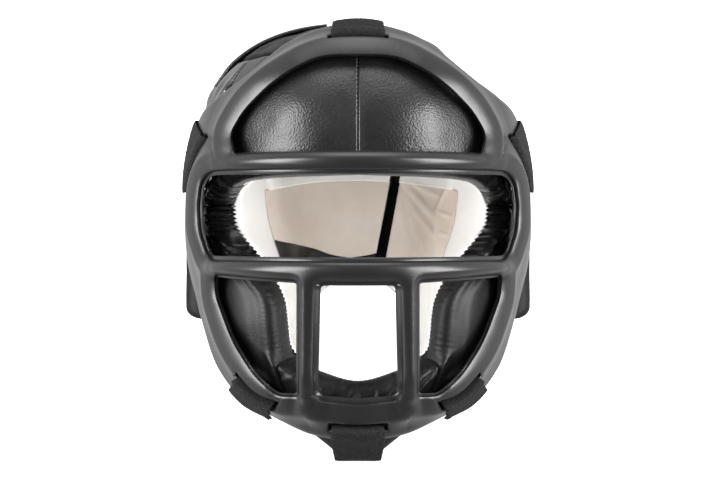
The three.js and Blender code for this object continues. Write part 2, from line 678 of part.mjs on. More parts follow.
function faceMaskGeometry() {
  const sections = Array.from({ length: RIM_SECTIONS }, (_, i) => rimSection((i * MASK_LAPS) / RIM_SECTIONS));
  let solid = toSolid(loft(sections, true));
  for (const bar of [crossBar(BROW_BAR), crossBar(EYE_BAR), uprightBar(1), uprightBar(-1)]) {
    solid = solid.add(toSolid(bar));
  }
  for (const strap of [...STRAPS, CHIN_STRAP]) {
    const cutter = slotCutter(strap);
    solid = solid.subtract(toSolid(cutter)).subtract(toSolid(mirrored(cutter)));
  }
  return fromSolid(solid);
}

// A band of even thickness over rows of middle points, one row for each step along it.
function band(rows, thickness) {
  const cells = rows.map((row, j) => row.map((point, i) => {
    const ahead = rows[Math.min(j + 1, rows.length - 1)][i].clone().sub(rows[Math.max(j - 1, 0)][i]);
    const beside = row[Math.min(i + 1, row.length - 1)].clone().sub(row[Math.max(i - 1, 0)]);
    const normal = beside.cross(ahead).normalize();
    return {
      outer: point.clone().addScaledVector(normal, thickness / 2),
      inner: point.clone().addScaledVector(normal, -thickness / 2),
    };
  }));
  return shellGeometry(cells);
}

// A row of points across a band that lies on the body.
function bodyRow({ turn, z }, lift, across, wide) {
  const normal = bodyNormal(turn, z);
  const flat = across.clone().addScaledVector(normal, -across.dot(normal)).normalize();
  return STRAP_COLUMNS.map((column) => {
    const beside = bodyPoint(turn, z).addScaledVector(flat, column * wide);
    const spot = spotOnBody(beside, normal.z > FLAT_CROWN);
    return onBody(spot.turn, spot.z, lift);
  });
}

function bodyRows(from, to, steps, lift, across, wide) {
  return Array.from({ length: steps + 1 }, (_, i) => {
    const spot = { turn: lerp(from.turn, to.turn, i / steps), z: lerp(from.z, to.z, i / steps) };
    return bodyRow(spot, lift, across, wide);
  });
}

// Rows of a band round the mask rim, from behind the rim through its slot to past the outer edge.
function slotRows(strap) {
  const clear = STRAP_RIM_GAP + STRAP_THICKNESS / 2;
  const over = (inset, width) => rimFront(inset, width) + clear;
  const under = (inset, width) => RIM_BACK_LIFT + rimLift(inset, width) - clear;
  const { near, far, nearOff, inSlot, pastEdge, onEdge, onRim } = SLOT_BEND;
  const spots = [
    (slot, width) => [slot + far, under(slot + far, width)],
    (slot, width) => [slot + near, under(slot, width) - nearOff],
    (slot, width) => [slot, under(slot, width) + inSlot],
    (slot, width) => [slot, over(slot, width) - inSlot],
    (slot, width) => [slot + near, over(slot, width) + nearOff],
    (slot, width) => [slot + far, over(slot + far, width)],
    (slot, width) => [lerp(slot, width, onRim), over(lerp(slot, width, onRim), width)],
    (slot, width) => [width - onEdge, over(width - onEdge, width)],
    (slot, width) => [width + pastEdge, clear],
  ];
  const frames = STRAP_COLUMNS.map((column) => maskFrame(besideStation(strap, column * strap.wide)));
  return spots.map((spot) => frames.map((frame) => {
    const [inset, lift] = spot(strap.share * frame.width, frame.width);
    return onMask(frame, inset, lift);
  }));
}

function rowMiddle(row) {
  return row.reduce((sum, point) => sum.add(point), new THREE.Vector3()).divideScalar(row.length);
}

function maskStrap(strap) {
  const { along } = maskFrame(strap.station);
  const lift = STRAP_GAP + STRAP_THICKNESS / 2;
  const rim = slotRows(strap);
  const fromAbove = bodyNormal(strap.outer.turn, strap.outer.z).z > FLAT_CROWN;
  const halfway = (row, end) => {
    const spot = spotOnBody(rowMiddle(row), fromAbove);
    return { turn: lerp(spot.turn, end.turn, 0.5), z: lerp(spot.z, end.z, 0.5) };
  };
  const inner = bodyRows(strap.inner, halfway(rim[0], strap.inner), 1, lift, along, strap.wide);
  const outer = bodyRows(halfway(rim[rim.length - 1], strap.outer), strap.outer, 2, lift, along, strap.wide);
  return band([...inner, ...rim, ...outer], STRAP_THICKNESS);
}

// The chin strap turns under the chin pad, where the headgear rests on it.
function chinStrap() {
  const strap = CHIN_STRAP;
  const lift = STRAP_GAP + STRAP_THICKNESS / 2;
  const inner = bodyRow(strap.inner, lift, maskFrame(strap.station).along, strap.wide);
  const side = Math.sign(inner[1].x - inner[0].x);
  const row = (forward, rise) => STRAP_COLUMNS.map((column) => (
    new THREE.Vector3(side * column * strap.wide, -forward, surfaceZ(forward) + rise)
  ));
  const flatRise = (STRAP_THICKNESS / 2 - STRAP_FLATTENED) / Math.cos(degToRad(LEAN));
  const turning = row(CHIN_STRAP_TURN.forward, CHIN_STRAP_TURN.rise);
  const flat = CHIN_STRAP_FLAT.map((forward) => row(forward, flatRise));
  return band([inner, ...slotRows(strap), turning, ...flat], STRAP_THICKNESS);
}

function crownStrap() {
  const strap = CROWN_STRAP;
  const across = new THREE.Vector3(0, 1, 0);
  const endShare = crownShare(strap.toZ);
  const rows = Array.from({ length: strap.steps + 1 }, (_, i) => {
    const z = crownHeight(lerp(strap.fromShare, endShare, i / strap.steps));
    return bodyRow({ turn: strap.turn, z }, STRAP_GAP + strap.thick / 2, across, strap.wide);
  });
  return band(rows, strap.thick);
}

function backStrap() {
  const strap = BACK_STRAP;
  const from = { turn: strap.fromTurn, z: strap.z };
  const to = { turn: strap.toTurn, z: strap.z };
  const across = new THREE.Vector3(0, 0, 1);
  return band(bodyRows(from, to, strap.steps, STRAP_GAP + strap.thick / 2, across, strap.wide), strap.thick);
}

function rimBinding() {
  const binding = RIM_BINDING;
  const sections = Array.from({ length: binding.steps + 1 }, (_, i) => {
    const turn = lerp(binding.fromTurn, binding.toTurn, i / binding.steps);
    const z = cheekRimZ(turn);
    const outwards = bodyNormal(turn, z);
    const along = bodyPoint(turn + 1, cheekRimZ(turn + 1)).sub(bodyPoint(turn - 1, cheekRimZ(turn - 1)));
    const down = along.cross(outwards).normalize();
    const centre = onBody(turn, z, -PAD_THICKNESS / 2).addScaledVector(down, binding.gap + binding.tall / 2);
    return barSection(centre, outwards, down, binding.wide, binding.tall, binding.corner);
  });
  return loft(sections, false);
}

// Assembly.
const headgear = new THREE.Group();

function addPiece(name, geometry, material) {
  const isStiff = material === PLASTIC || material === WEBBING;
  const mesh = new THREE.Mesh(isStiff ? geometry : sagged(geometry), material);
  mesh.name = name;
  headgear.add(mesh);
}

function addPair(name, geometry, material) {
  addPiece(`${name}_right`, geometry, material);
  addPiece(`${name}_left`, mirrored(geometry), material);
}

addPiece('face_mask', faceMaskGeometry(), PLASTIC);

const underPad = STRAP_THICKNESS + STRAP_GAP;
addPiece('forehead_pad', shellGeometry(foreheadRows), LEATHER);
addPiece('chin_pad', restOnSurface(shellGeometry(chinRows), underPad), LEATHER);
addPiece('crown_pad', shellGeometry(crownRows), LEATHER);
addPair('temple_pad', shellGeometry(templeRows), LEATHER);
addPair('cheek_pad', restOnSurface(shellGeometry(cheekRows), 0), LEATHER);
addPair('ear_pad', shellGeometry(earRows), LEATHER);
addPiece('back_flap_right', restOnSurface(shellGeometry(rightFlapRows), 0), LEATHER);
addPiece('back_flap_left', restOnSurface(shellGeometry(leftFlapRows), 0), LEATHER);

addPiece('forehead_lining', shellGeometry(liningRows(foreheadRows)), WHITE_LINING);
addPiece('chin_lining', restOnSurface(shellGeometry(liningRows(chinRows)), underPad), WHITE_LINING);
addPair('temple_lining', shellGeometry(liningRows(templeRows)), WHITE_LINING);
addPair('cheek_lining', shellGeometry(liningRows(cheekRows)), WHITE_LINING);
addPiece('back_lining_right', shellGeometry(liningRows(rightFlapRows)), BEIGE_LINING);
addPiece('back_lining_left', shellGeometry(liningRows(leftFlapRows)), BEIGE_LINING);

const [topStrap, ...pairedStraps] = STRAPS;
addPiece(topStrap.name, maskStrap(topStrap), WEBBING);
for (const strap of pairedStraps) {
  addPair(strap.name, maskStrap(strap), WEBBING);
}
addPiece('chin_strap', restOnSurface(chinStrap(), 0), WEBBING);
addPiece('crown_strap', crownStrap(), LEATHER);
addPiece('back_strap', backStrap(), WEBBING);
addPair('rim_binding', rimBinding(), LEATHER);

// Lean the headgear back onto its rest and set the origin under the middle of its box.
headgear.rotation.x = degToRad(-LEAN);
headgear.updateMatrixWorld(true);
const box = new THREE.Box3().setFromObject(headgear, true);
const middle = box.getCenter(new THREE.Vector3());
headgear.position.set(-middle.x, -middle.y, -box.min.z);

export default headgear;
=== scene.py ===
# Looks of the sparring headgear with face mask.
# Shapes are worked out in millimetres on the upright headgear (x to the right, y to the back, z up)
# and then leaned back onto the floor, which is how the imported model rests.
import math

import bpy
import bmesh
import numpy as np
from mathutils.geometry import delaunay_2d_cdt
from mathutils.kdtree import KDTree
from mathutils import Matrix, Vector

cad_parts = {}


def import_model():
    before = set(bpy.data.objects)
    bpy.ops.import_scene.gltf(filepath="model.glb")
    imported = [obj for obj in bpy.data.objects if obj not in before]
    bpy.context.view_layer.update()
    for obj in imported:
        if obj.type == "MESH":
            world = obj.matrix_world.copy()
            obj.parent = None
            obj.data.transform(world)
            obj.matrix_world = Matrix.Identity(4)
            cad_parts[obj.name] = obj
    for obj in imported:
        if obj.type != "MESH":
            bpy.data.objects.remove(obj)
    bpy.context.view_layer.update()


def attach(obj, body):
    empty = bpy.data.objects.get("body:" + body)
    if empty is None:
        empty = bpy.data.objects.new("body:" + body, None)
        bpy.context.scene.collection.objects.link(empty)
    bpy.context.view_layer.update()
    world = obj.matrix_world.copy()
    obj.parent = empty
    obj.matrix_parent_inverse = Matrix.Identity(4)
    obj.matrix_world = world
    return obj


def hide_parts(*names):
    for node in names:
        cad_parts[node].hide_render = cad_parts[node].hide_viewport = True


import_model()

# Rest of the headgear, and the photograph's frame.
MM = 0.001
LEAN = math.radians(20.56)
CHIN_REST = {"forward": 80.0, "z": -136.0}
BOX_SHIFT_Y = 4.28
IMAGE = {"wide": 720, "middle_x": 358}
CAMERA = {"distance": 1300.0, "mm_per_pixel": 0.66, "sensor": 36.0}

# Outer surface of the padded body at each height.
BODY = {
    "z": [-148, -138, -120, -104, -85, -56, -20, 20, 60],
    "half_width": [36, 46, 62, 76, 91, 100, 101, 101, 100],
    "front": [73, 81, 90, 96, 100, 103, 105, 106, 104],
    "back": [32, 42, 60, 78, 92, 105, 112, 115, 114],
}
TEMPLE_Z = 60.0
CROWN_Z = 138.0
CROWN_POWER = 2.4
SAG = {"turn": 80, "half_turn": 40, "z": 118, "half_height": 22, "share": 0.22}

# Seams and free edges of the padded panels: turn round the head against height.
BROW_EDGE = {"turn": [0, 50, 67, 80, 100, 140], "z": [40, 37, 31, 22, 21, 20]}
CROWN_EDGE = {"turn": [0, 62, 100, 130, 180], "z": [118.5, 117, 108, 98, 93]}
SIDE_BACK_EDGE = {"z": [-91, -15, 30, 98], "turn": [141, 138, 130, 124]}
FACE_EDGE = {"z": [-120, -76, -45, -31, -11, 0, 10, 21.4], "turn": [33, 33, 33, 37, 50, 61, 74, 80]}
CHEEK_RIM = {"turn": [33, 50, 70, 90, 110, 141], "z": [-120, -114, -102, -95, -89, -91]}
CHIN_RIM = {"turn": [-16, 0, 16, 32.6], "z": [-138, -143, -138, -122]}
MOUTH_EDGE = {"turn": [-20, 0, 20, 32.6], "z": [-84, -90, -84, -77]}
NAPE_EDGE = {"from_back": [-10, 0, 10, 30, 42], "z": [-31, -30, -31, -64, -97]}
FOREHEAD_TURN = 62.0
BROW_CORNER_TURN = 80.0
CHIN_TURN = 32.6
JAW_TURN = 33.0
SIDE_BACK_TURN = {"rim": 141.0, "brow": 130.0, "crown": 124.0}
REAR_GAP_TURN = {"nape": 170.0, "crown": 155.0}
SEAM_GAP = 0.2
BACK_GAP = {"turn_at_zero": 12.2, "turn_per_mm": 0.1268, "half_turn": 2.0}

# Padding and lining.
PAD_THICKNESS = 22.0
CHIN_PAD_THICKNESS = 25.0
FLAP_THICKNESS = 10.0
FLAP_ROLL = 6.0
CROWN_PAD_THICKNESS = 16.0
EDGE_THICKNESS = 2.0
EDGE_ROLL = 12.0
EAR_PAD = {"from_turn": 95, "to_turn": 128, "bottom": -53, "top": 33, "height": 15, "lift": 0.5, "roll": 8}

# Face mask, right half, from the middle of the forehead to the middle of the chin.
MASK = {
    "inner_x": [0, 38.4, 58, 76, 82, 95, 101.5, 101.5, 92.7, 87, 81.8, 72.6, 59.7, 44, 22.4, 0],
    "inner_z": [
        112.4, 107, 92, 73, 55.7, 37.2, 21.6, 5.7, -12, -28.8, -45.6, -68.9, -86.8, -95.3, -92.1, -93.2,
    ],
    "inner_forward": [90, 86, 84, 73, 73, 59, 50, 50, 58, 66, 70, 80, 90, 99, 106, 108],
    "outer_x": [0, 39.2, 67.8, 88, 100.8, 111, 112.5, 112.5, 110.6, 104.5, 97, 88, 71, 51, 29, 0],
    "outer_z": [
        135, 125.8, 103, 90.5, 80, 49, 16, -1, -17, -40, -61, -82.2, -101.7, -110.3, -119.4, -122.8,
    ],
    "outer_forward": [66, 60, 66, 45, 22, 0, -4, -4, 0, 8, 36, 48, 60, 77, 90, 99],
}
MASK_HALF = len(MASK["inner_x"]) - 1
RIM_PROFILE = {
    "inset": [0, 0.5, 1.2, 4, 8, 10, 11, 13, 17, 22, 30],
    "lift": [4.3, 5.0, 5.3, 5.7, 6.3, 6.5, 6.3, 5.5, 4.0, 2.6, 1.6],
}
BAR_PROFILE = {"inset": [0, 0.6, 1.5, 3, 4.5, 7], "lift": [3.4, 4.4, 5.3, 6.1, 6.5, 6.7]}
MASK_EDGE_ANGLE = 32.0
RIM_BACK_LIFT = -2.0
RIM_BULGE = 0.0008
BROW_BAR = {"z": 47, "bow": 118, "bow_half": 105, "reach": 88}
EYE_BAR = {"z": -19.3, "bow": 128, "bow_half": 105, "reach": 91}
UPRIGHT = {"x": 28.5, "top_z": -20, "top_forward": 123.5, "bottom_z": -101, "bottom_forward": 107.5}
BAR_BACK = 4.0

# Openings of the mask seen from the front: corners, their rounding, and a thin lip behind the edge.
FOREHEAD_OPENING = {
    "x": [0, 24, 50, 71, 79.5, 76.3, 0],
    "z": [112.4, 112.6, 99, 79, 65, 53.2, 53.2],
    "round": [0, 45, 100, 50, 13, 2, 0],
    "lip": 0.4,
}
EYE_OPENING = {
    "x": [0, 97, 99, 98, 93, 0],
    "z": [39, 40, 22, 5, -10.5, -11],
    "round": [0, 18, 30, 40, 7, 0],
    "lip": 2.6,
}
MOUTH_OPENING = {
    "x": [0, 22.2, 24, 20, 0],
    "z": [-28, -28, -93.5, -95, -96.7],
    "round": [0, 2, 2, 10, 0],
    "lip": 3.0,
}
SIDE_OPENING = {
    "x": [37, 89, 88, 77, 62, 49, 37.5],
    "z": [-26.5, -23.8, -36, -62.5, -83.5, -94, -94],
    "round": [1.2, 2, 25, 90, 60, 9, 1.5],
    "lip": 1.6,
}
OUTER_EDGE_LIFT = 0.9
ARC = 1.9
PLATE_EASE = 30.0
FRONT_EASE = 9.0
PLATE_GRID = 1.5
LOOP_STEP = 1.0

# Straps through the slots of the mask.
STRAP_THICKNESS = 2.2
STRAP_GAP = 0.5
STRAP_RIM_GAP = 0.4
STRAP_FLATTENED = 0.2
SLOT = {"across": 6.0, "end_room": 2.0}
TOP_STRAP = {"wide": 30, "station": 0, "share": 0.47, "inner": (0, 128), "outer": (0, 136.4)}
TEMPLE_STRAP = {"wide": 44, "station": 4.85, "share": 0.48, "inner": (92, 57), "outer": (112, 64)}
JAW_STRAP = {"wide": 29, "station": 12.2, "share": 0.3, "inner": (56, -103), "outer": (61, -106)}
CHIN_STRAP = {"wide": 29, "station": 15, "share": 0.7, "inner": (0, -130)}
CHIN_STRAP_TURN = {"forward": 89, "rise": 4.5}
CHIN_STRAP_FLAT = [81, 72, 60]
SLOT_BEND = {
    "near": 2.2,
    "far": 6.5,
    "near_off": 0.9,
    "in_slot": 1.6,
    "past_edge": 1.5,
    "on_edge": 1,
    "on_rim": 0.6,
}
CROWN_STRAP = {"turn": -90, "from_share": 0.2, "to_z": 98, "wide": 40, "thick": 3}
BACK_STRAP = {"z": 15, "from_turn": 146, "to_turn": 212, "wide": 62, "thick": 3}
RIM_BINDING = {"from_turn": 42, "to_turn": 116, "gap": 1.1, "wide": 8, "tall": 7}

# Noise and creases: the ranges are shares of the spacing, reach, width and height that are asked for.
NOISE_CELLS = 64
CREASE = {
    "spacing": (0.55, 1.5),
    "slant": (-0.55, 0.55),
    "reach": (0.5, 1.25),
    "start": (-0.1, 0.25),
    "width": (0.7, 1.4),
    "height": (0.4, 1.2),
    "blend": 3,
    "full": 0.45,
    "ridge": 0.5,
    "ridge_off": 1.7,
}
NORMAL_STEP = {"turn": 0.5, "z": 0.4}


def smooth_table(table, by, column, at):
    """One column of a table at places between its rows, as a smooth curve."""
    xs = np.array(table[by], float)
    ys = np.array(table[column], float)
    ends = len(xs) - 1
    before = np.maximum(np.arange(len(xs)) - 1, 0)
    after = np.minimum(np.arange(len(xs)) + 1, ends)
    slopes = (ys[after] - ys[before]) / (xs[after] - xs[before])
    place = np.clip(np.asarray(at, float), xs[0], xs[-1])
    row = np.clip(np.searchsorted(xs, place, side="left") - 1, 0, ends - 1)
    step = xs[row + 1] - xs[row]
    f = (place - xs[row]) / step
    ends_part = ys[row] * (1 + 2 * f) * (1 - f) ** 2 + ys[row + 1] * f**2 * (3 - 2 * f)
    return ends_part + slopes[row] * step * f * (1 - f) ** 2 + slopes[row + 1] * step * f**2 * (f - 1)


def lerp(a, b, share):
    return a + (b - a) * share


def smoothstep(low, high, x):
    share = np.clip((x - low) / (high - low), 0, 1)
    return share * share * (3 - 2 * share)


def bump(x, middle, half_width):
    """A round hill of height one."""
    return np.exp(-(((x - middle) / half_width) ** 2))


def unit(vectors):
    return vectors / np.maximum(np.linalg.norm(vectors, axis=-1, keepdims=True), 1e-9)


def way_along(points):
    """The way along a line of points, from the first to each."""
    return np.concatenate([[0], np.cumsum(np.linalg.norm(np.diff(points, axis=0), axis=1))])


def stack(*parts):
    return np.stack(np.broadcast_arrays(*parts), axis=-1).astype(float)


def noise(x, y, seed):
    """Smooth noise from -1 to 1 that repeats."""
    grid = np.random.default_rng(seed).uniform(-1, 1, (NOISE_CELLS, NOISE_CELLS))
    ix = np.floor(x).astype(int)
    iy = np.floor(y).astype(int)
    fx = smoothstep(0, 1, x - ix)
    fy = smoothstep(0, 1, y - iy)
    x0, x1, y0, y1 = (i % NOISE_CELLS for i in (ix, ix + 1, iy, iy + 1))
    low = lerp(grid[x0, y0], grid[x1, y0], fx)
    high = lerp(grid[x0, y1], grid[x1, y1], fx)
    return lerp(low, high, fy)


def creases(along, depth, length, spacing, reach, width, height, seed):
    """Gathers that run in from an edge: along is the way on the edge, depth the distance from it."""
    rng = np.random.default_rng(seed)
    field = np.zeros(np.broadcast(along, depth).shape)
    place = 0.0
    blend = CREASE["blend"]
    while place < length:
        place += spacing * rng.uniform(*CREASE["spacing"])
        slant = rng.uniform(*CREASE["slant"])
        deep = reach * rng.uniform(*CREASE["reach"])
        start = rng.uniform(*CREASE["start"]) * reach
        fade = smoothstep(start - blend, start + blend, depth)
        fade = fade * (1 - smoothstep(CREASE["full"] * deep, deep, depth))
        line = (along - place - slant * depth) / (width * rng.uniform(*CREASE["width"]))
        field -= height * rng.uniform(*CREASE["height"]) * np.exp(-(line**2)) * fade
        field += CREASE["ridge"] * height * np.exp(-((line - CREASE["ridge_off"]) ** 2)) * fade
    return field


def to_rest(points):
    """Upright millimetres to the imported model's frame in metres."""
    cos = math.cos(LEAN)
    sin = math.sin(LEAN)
    shift_z = -CHIN_REST["forward"] * sin - CHIN_REST["z"] * cos
    y = points[..., 1] * cos + points[..., 2] * sin + BOX_SHIFT_Y
    z = -points[..., 1] * sin + points[..., 2] * cos + shift_z
    return np.stack([points[..., 0], y, z], axis=-1) * MM


def sagged(points):
    """Soft padding drawn in where it sags."""
    turn = np.degrees(np.arctan2(points[..., 0], -points[..., 1]))
    hill = bump(turn, SAG["turn"], SAG["half_turn"]) * bump(points[..., 2], SAG["z"], SAG["half_height"])
    share = (1 - SAG["share"] * hill)[..., None]
    return points * np.concatenate([share, share, np.ones(share.shape)], axis=-1)


def surface_z(forward):
    return CHIN_REST["z"] + (CHIN_REST["forward"] - forward) * math.tan(LEAN)


# The body's surface.
def crown_share(z):
    rise = np.clip((z - TEMPLE_Z) / (CROWN_Z - TEMPLE_Z), 0, 1)
    return (1 - rise**CROWN_POWER) ** (1 / CROWN_POWER)


def crown_height(share):
    rise = (1 - np.clip(share, 0, 1) ** CROWN_POWER) ** (1 / CROWN_POWER)
    return lerp(TEMPLE_Z, CROWN_Z, rise)


def body_axes(turn, z):
    share = crown_share(z)
    is_front = np.cos(np.radians(turn)) >= 0
    front = smooth_table(BODY, "z", "front", z)
    back = smooth_table(BODY, "z", "back", z)
    return share * smooth_table(BODY, "z", "half_width", z), share * np.where(is_front, front, back)


def body_point(turn, z):
    across, reach = body_axes(turn, z)
    angle = np.radians(turn)
    return stack(across * np.sin(angle), -reach * np.cos(angle), z)


def body_normal(turn, z):
    turn = np.asarray(turn, float)
    z = np.asarray(z, float)
    low = np.minimum(z, TEMPLE_Z)
    turn_step, z_step = NORMAL_STEP["turn"], NORMAL_STEP["z"]
    along = body_point(turn + turn_step, low) - body_point(turn - turn_step, low)
    up = body_point(turn, low + z_step) - body_point(turn, low - z_step)
    side = unit(np.cross(along, up))
    point = body_point(turn, z)
    across, reach = body_axes(turn, np.full(np.shape(z), TEMPLE_Z))
    height = CROWN_Z - TEMPLE_Z
    spread = np.maximum((point[..., 0] / across) ** 2 + (point[..., 1] / reach) ** 2, 1e-9)
    round_part = spread ** (CROWN_POWER / 2 - 1)
    rise = (np.maximum(z - TEMPLE_Z, 0) / height) ** (CROWN_POWER - 1) / height
    dome = unit(stack(point[..., 0] / across**2 * round_part, point[..., 1] / reach**2 * round_part, rise))
    return np.where((z <= TEMPLE_Z)[..., None], side, dome)


def on_body(turn, z, lift):
    return body_point(turn, z) + body_normal(turn, z) * np.asarray(lift)[..., None]


def spot_on_body(point, from_above):
    """Turn and height of the body beside a point, or under it where the crown is flat."""
    height = np.where(from_above, TEMPLE_Z, point[..., 2])
    across, reach = body_axes(np.where(point[..., 1] <= 0, 0, 180), height)
    x = point[..., 0] / across
    y = point[..., 1] / reach
    turn = np.degrees(np.arctan2(x, -y))
    return turn, np.where(from_above, crown_height(np.minimum(np.hypot(x, y), 1)), point[..., 2])


def table_line(table, by, column, both_sides=False):
    """A smooth line through the rows of a table, or one that is the same on both sides of the middle."""
    def line(at):
        return smooth_table(table, by, column, np.abs(at) if both_sides else at)
    return line


brow_z = table_line(BROW_EDGE, "turn", "z", both_sides=True)
chin_rim_z = table_line(CHIN_RIM, "turn", "z", both_sides=True)
mouth_z = table_line(MOUTH_EDGE, "turn", "z", both_sides=True)
cheek_rim_z = table_line(CHEEK_RIM, "turn", "z")
side_back_turn = table_line(SIDE_BACK_EDGE, "z", "turn")
face_turn = table_line(FACE_EDGE, "z", "turn")


def crown_edge_z(turn):
    return smooth_table(CROWN_EDGE, "turn", "z", 180 - np.abs(180 - np.abs(turn)))


def below_brow(turn):
    return brow_z(turn) - SEAM_GAP


def below_crown(turn):
    return crown_edge_z(turn) - SEAM_GAP


def flap_seam_turn(z):
    return side_back_turn(z) + SEAM_GAP


def nape_z(turn):
    return smooth_table(NAPE_EDGE, "from_back", "z", np.abs(180 - turn))


def upright_edge(from_z, to_z, turn_of):
    def edge(share):
        z = lerp(from_z, to_z, share)
        return turn_of(z), z
    return edge


def level_edge(from_turn, to_turn, z_of):
    def edge(share):
        turn = lerp(from_turn, to_turn, share)
        return turn, z_of(turn)
    return edge


def panel(bottom, top, left, right):
    """A four-sided panel between two level and two upright edges, as turn and height."""
    def place(s, t):
        found = []
        for key in (0, 1):
            edges = (1 - t) * bottom(s)[key] + t * top(s)[key] + (1 - s) * left(t)[key] + s * right(t)[key]
            zero = np.zeros(1)
            one = np.ones(1)
            low = (1 - s) * bottom(zero)[key] + s * bottom(one)[key]
            high = (1 - s) * top(zero)[key] + s * top(one)[key]
            found.append(edges - (1 - t) * low - t * high)
        return found
    return place


def constant_turn(turn):
    return lambda z: np.full(np.shape(z), float(turn))


def middle_panel(turn, low_z, high_z):
    """A panel across the middle, out to the same turn on both sides."""
    low, high = low_z(turn), high_z(turn)
    return panel(
        level_edge(-turn, turn, low_z),
        level_edge(-turn, turn, high_z),
        upright_edge(low, high, constant_turn(-turn)),
        upright_edge(low, high, constant_turn(turn)),
    )


def temple_place():
    start = FOREHEAD_TURN + SEAM_GAP
    back = float(side_back_turn(brow_z(SIDE_BACK_TURN["brow"])))
    top_back = float(side_back_turn(crown_edge_z(SIDE_BACK_TURN["crown"])))
    return panel(
        level_edge(start, back, brow_z),
        level_edge(start, top_back, below_crown),
        upright_edge(brow_z(start), below_crown(start), constant_turn(start)),
        upright_edge(brow_z(back), below_crown(top_back), side_back_turn),
    )


def cheek_place():
    back = float(side_back_turn(cheek_rim_z(SIDE_BACK_TURN["rim"])))
    top_back = float(side_back_turn(brow_z(SIDE_BACK_TURN["brow"])))
    return panel(
        level_edge(JAW_TURN, back, cheek_rim_z),
        level_edge(BROW_CORNER_TURN, top_back, below_brow),
        upright_edge(cheek_rim_z(JAW_TURN), below_brow(BROW_CORNER_TURN), face_turn),
        upright_edge(cheek_rim_z(back), below_brow(top_back), side_back_turn),
    )


def ear_place(s, t):
    return lerp(EAR_PAD["from_turn"], EAR_PAD["to_turn"], s), lerp(EAR_PAD["bottom"], EAR_PAD["top"], t)


def crown_place(s, t):
    a = 2 * s - 1
    b = 2 * t - 1
    x = a * np.sqrt(1 - b * b / 2)
    y = b * np.sqrt(1 - a * a / 2)
    turn = np.degrees(np.arctan2(x, -y))
    share = np.minimum(np.hypot(x, y), 1) * crown_share(crown_edge_z(turn))
    return turn, crown_height(share)


def flap_place(is_right):
    half = -BACK_GAP["half_turn"] if is_right else BACK_GAP["half_turn"]

    def gap_turn(z):
        return 180 - BACK_GAP["turn_at_zero"] - BACK_GAP["turn_per_mm"] * z + half

    def seam_turn(z):
        return flap_seam_turn(z) if is_right else 360 - flap_seam_turn(z)

    def upright(turn_of, foot_turn, head_turn):
        """The turns of an upright side at its foot and its head, and its line."""
        low = float(turn_of(nape_z(foot_turn)))
        high = float(turn_of(crown_edge_z(head_turn)))
        return low, high, upright_edge(nape_z(low), below_crown(high), turn_of)

    sides = [
        upright(seam_turn, SIDE_BACK_TURN["rim"], SIDE_BACK_TURN["crown"]),
        upright(gap_turn, REAR_GAP_TURN["nape"], REAR_GAP_TURN["crown"]),
    ]
    left, right = sides if is_right else sides[::-1]
    foot = level_edge(left[0], right[0], nape_z)
    head = level_edge(left[1], right[1], below_crown)
    return panel(foot, head, left[2], right[2])


# Pads.
LEFT, RIGHT, LOW, HIGH = range(4)
PANEL_SAMPLES = 13
ROLL_POINTS = 8
PAD_STEP = 2.4


def panel_length(place, across):
    line = np.linspace(0, 1, PANEL_SAMPLES)
    middle = np.full(PANEL_SAMPLES, 0.5)
    turn, z = place(line, middle) if across else place(middle, line)
    return float(np.linalg.norm(np.diff(body_point(turn, z), axis=0), axis=1).sum())


def pad_shares(length, roll_start, roll_end, step):
    """Shares along one side of a pad: close together on its rolled edges, by the given steps between."""
    turning = 1 - np.cos(np.linspace(0, math.pi / 2, ROLL_POINTS))
    middle = [roll_start]
    while middle[-1] < length - roll_end:
        middle.append(middle[-1] + (step(middle[-1]) if callable(step) else step))
    past_start = np.array(middle) - roll_start
    middle = roll_start + past_start * (length - roll_end - roll_start) / (middle[-1] - roll_start)
    return np.concatenate([roll_start * turning, middle[1:-1], length - roll_end * turning[::-1]]) / length


def no_swell(z):
    return 0 * z


def roll_rise(distance, roll):
    return np.sqrt(1 - (1 - np.clip(distance / roll, 0, 1)) ** 2)


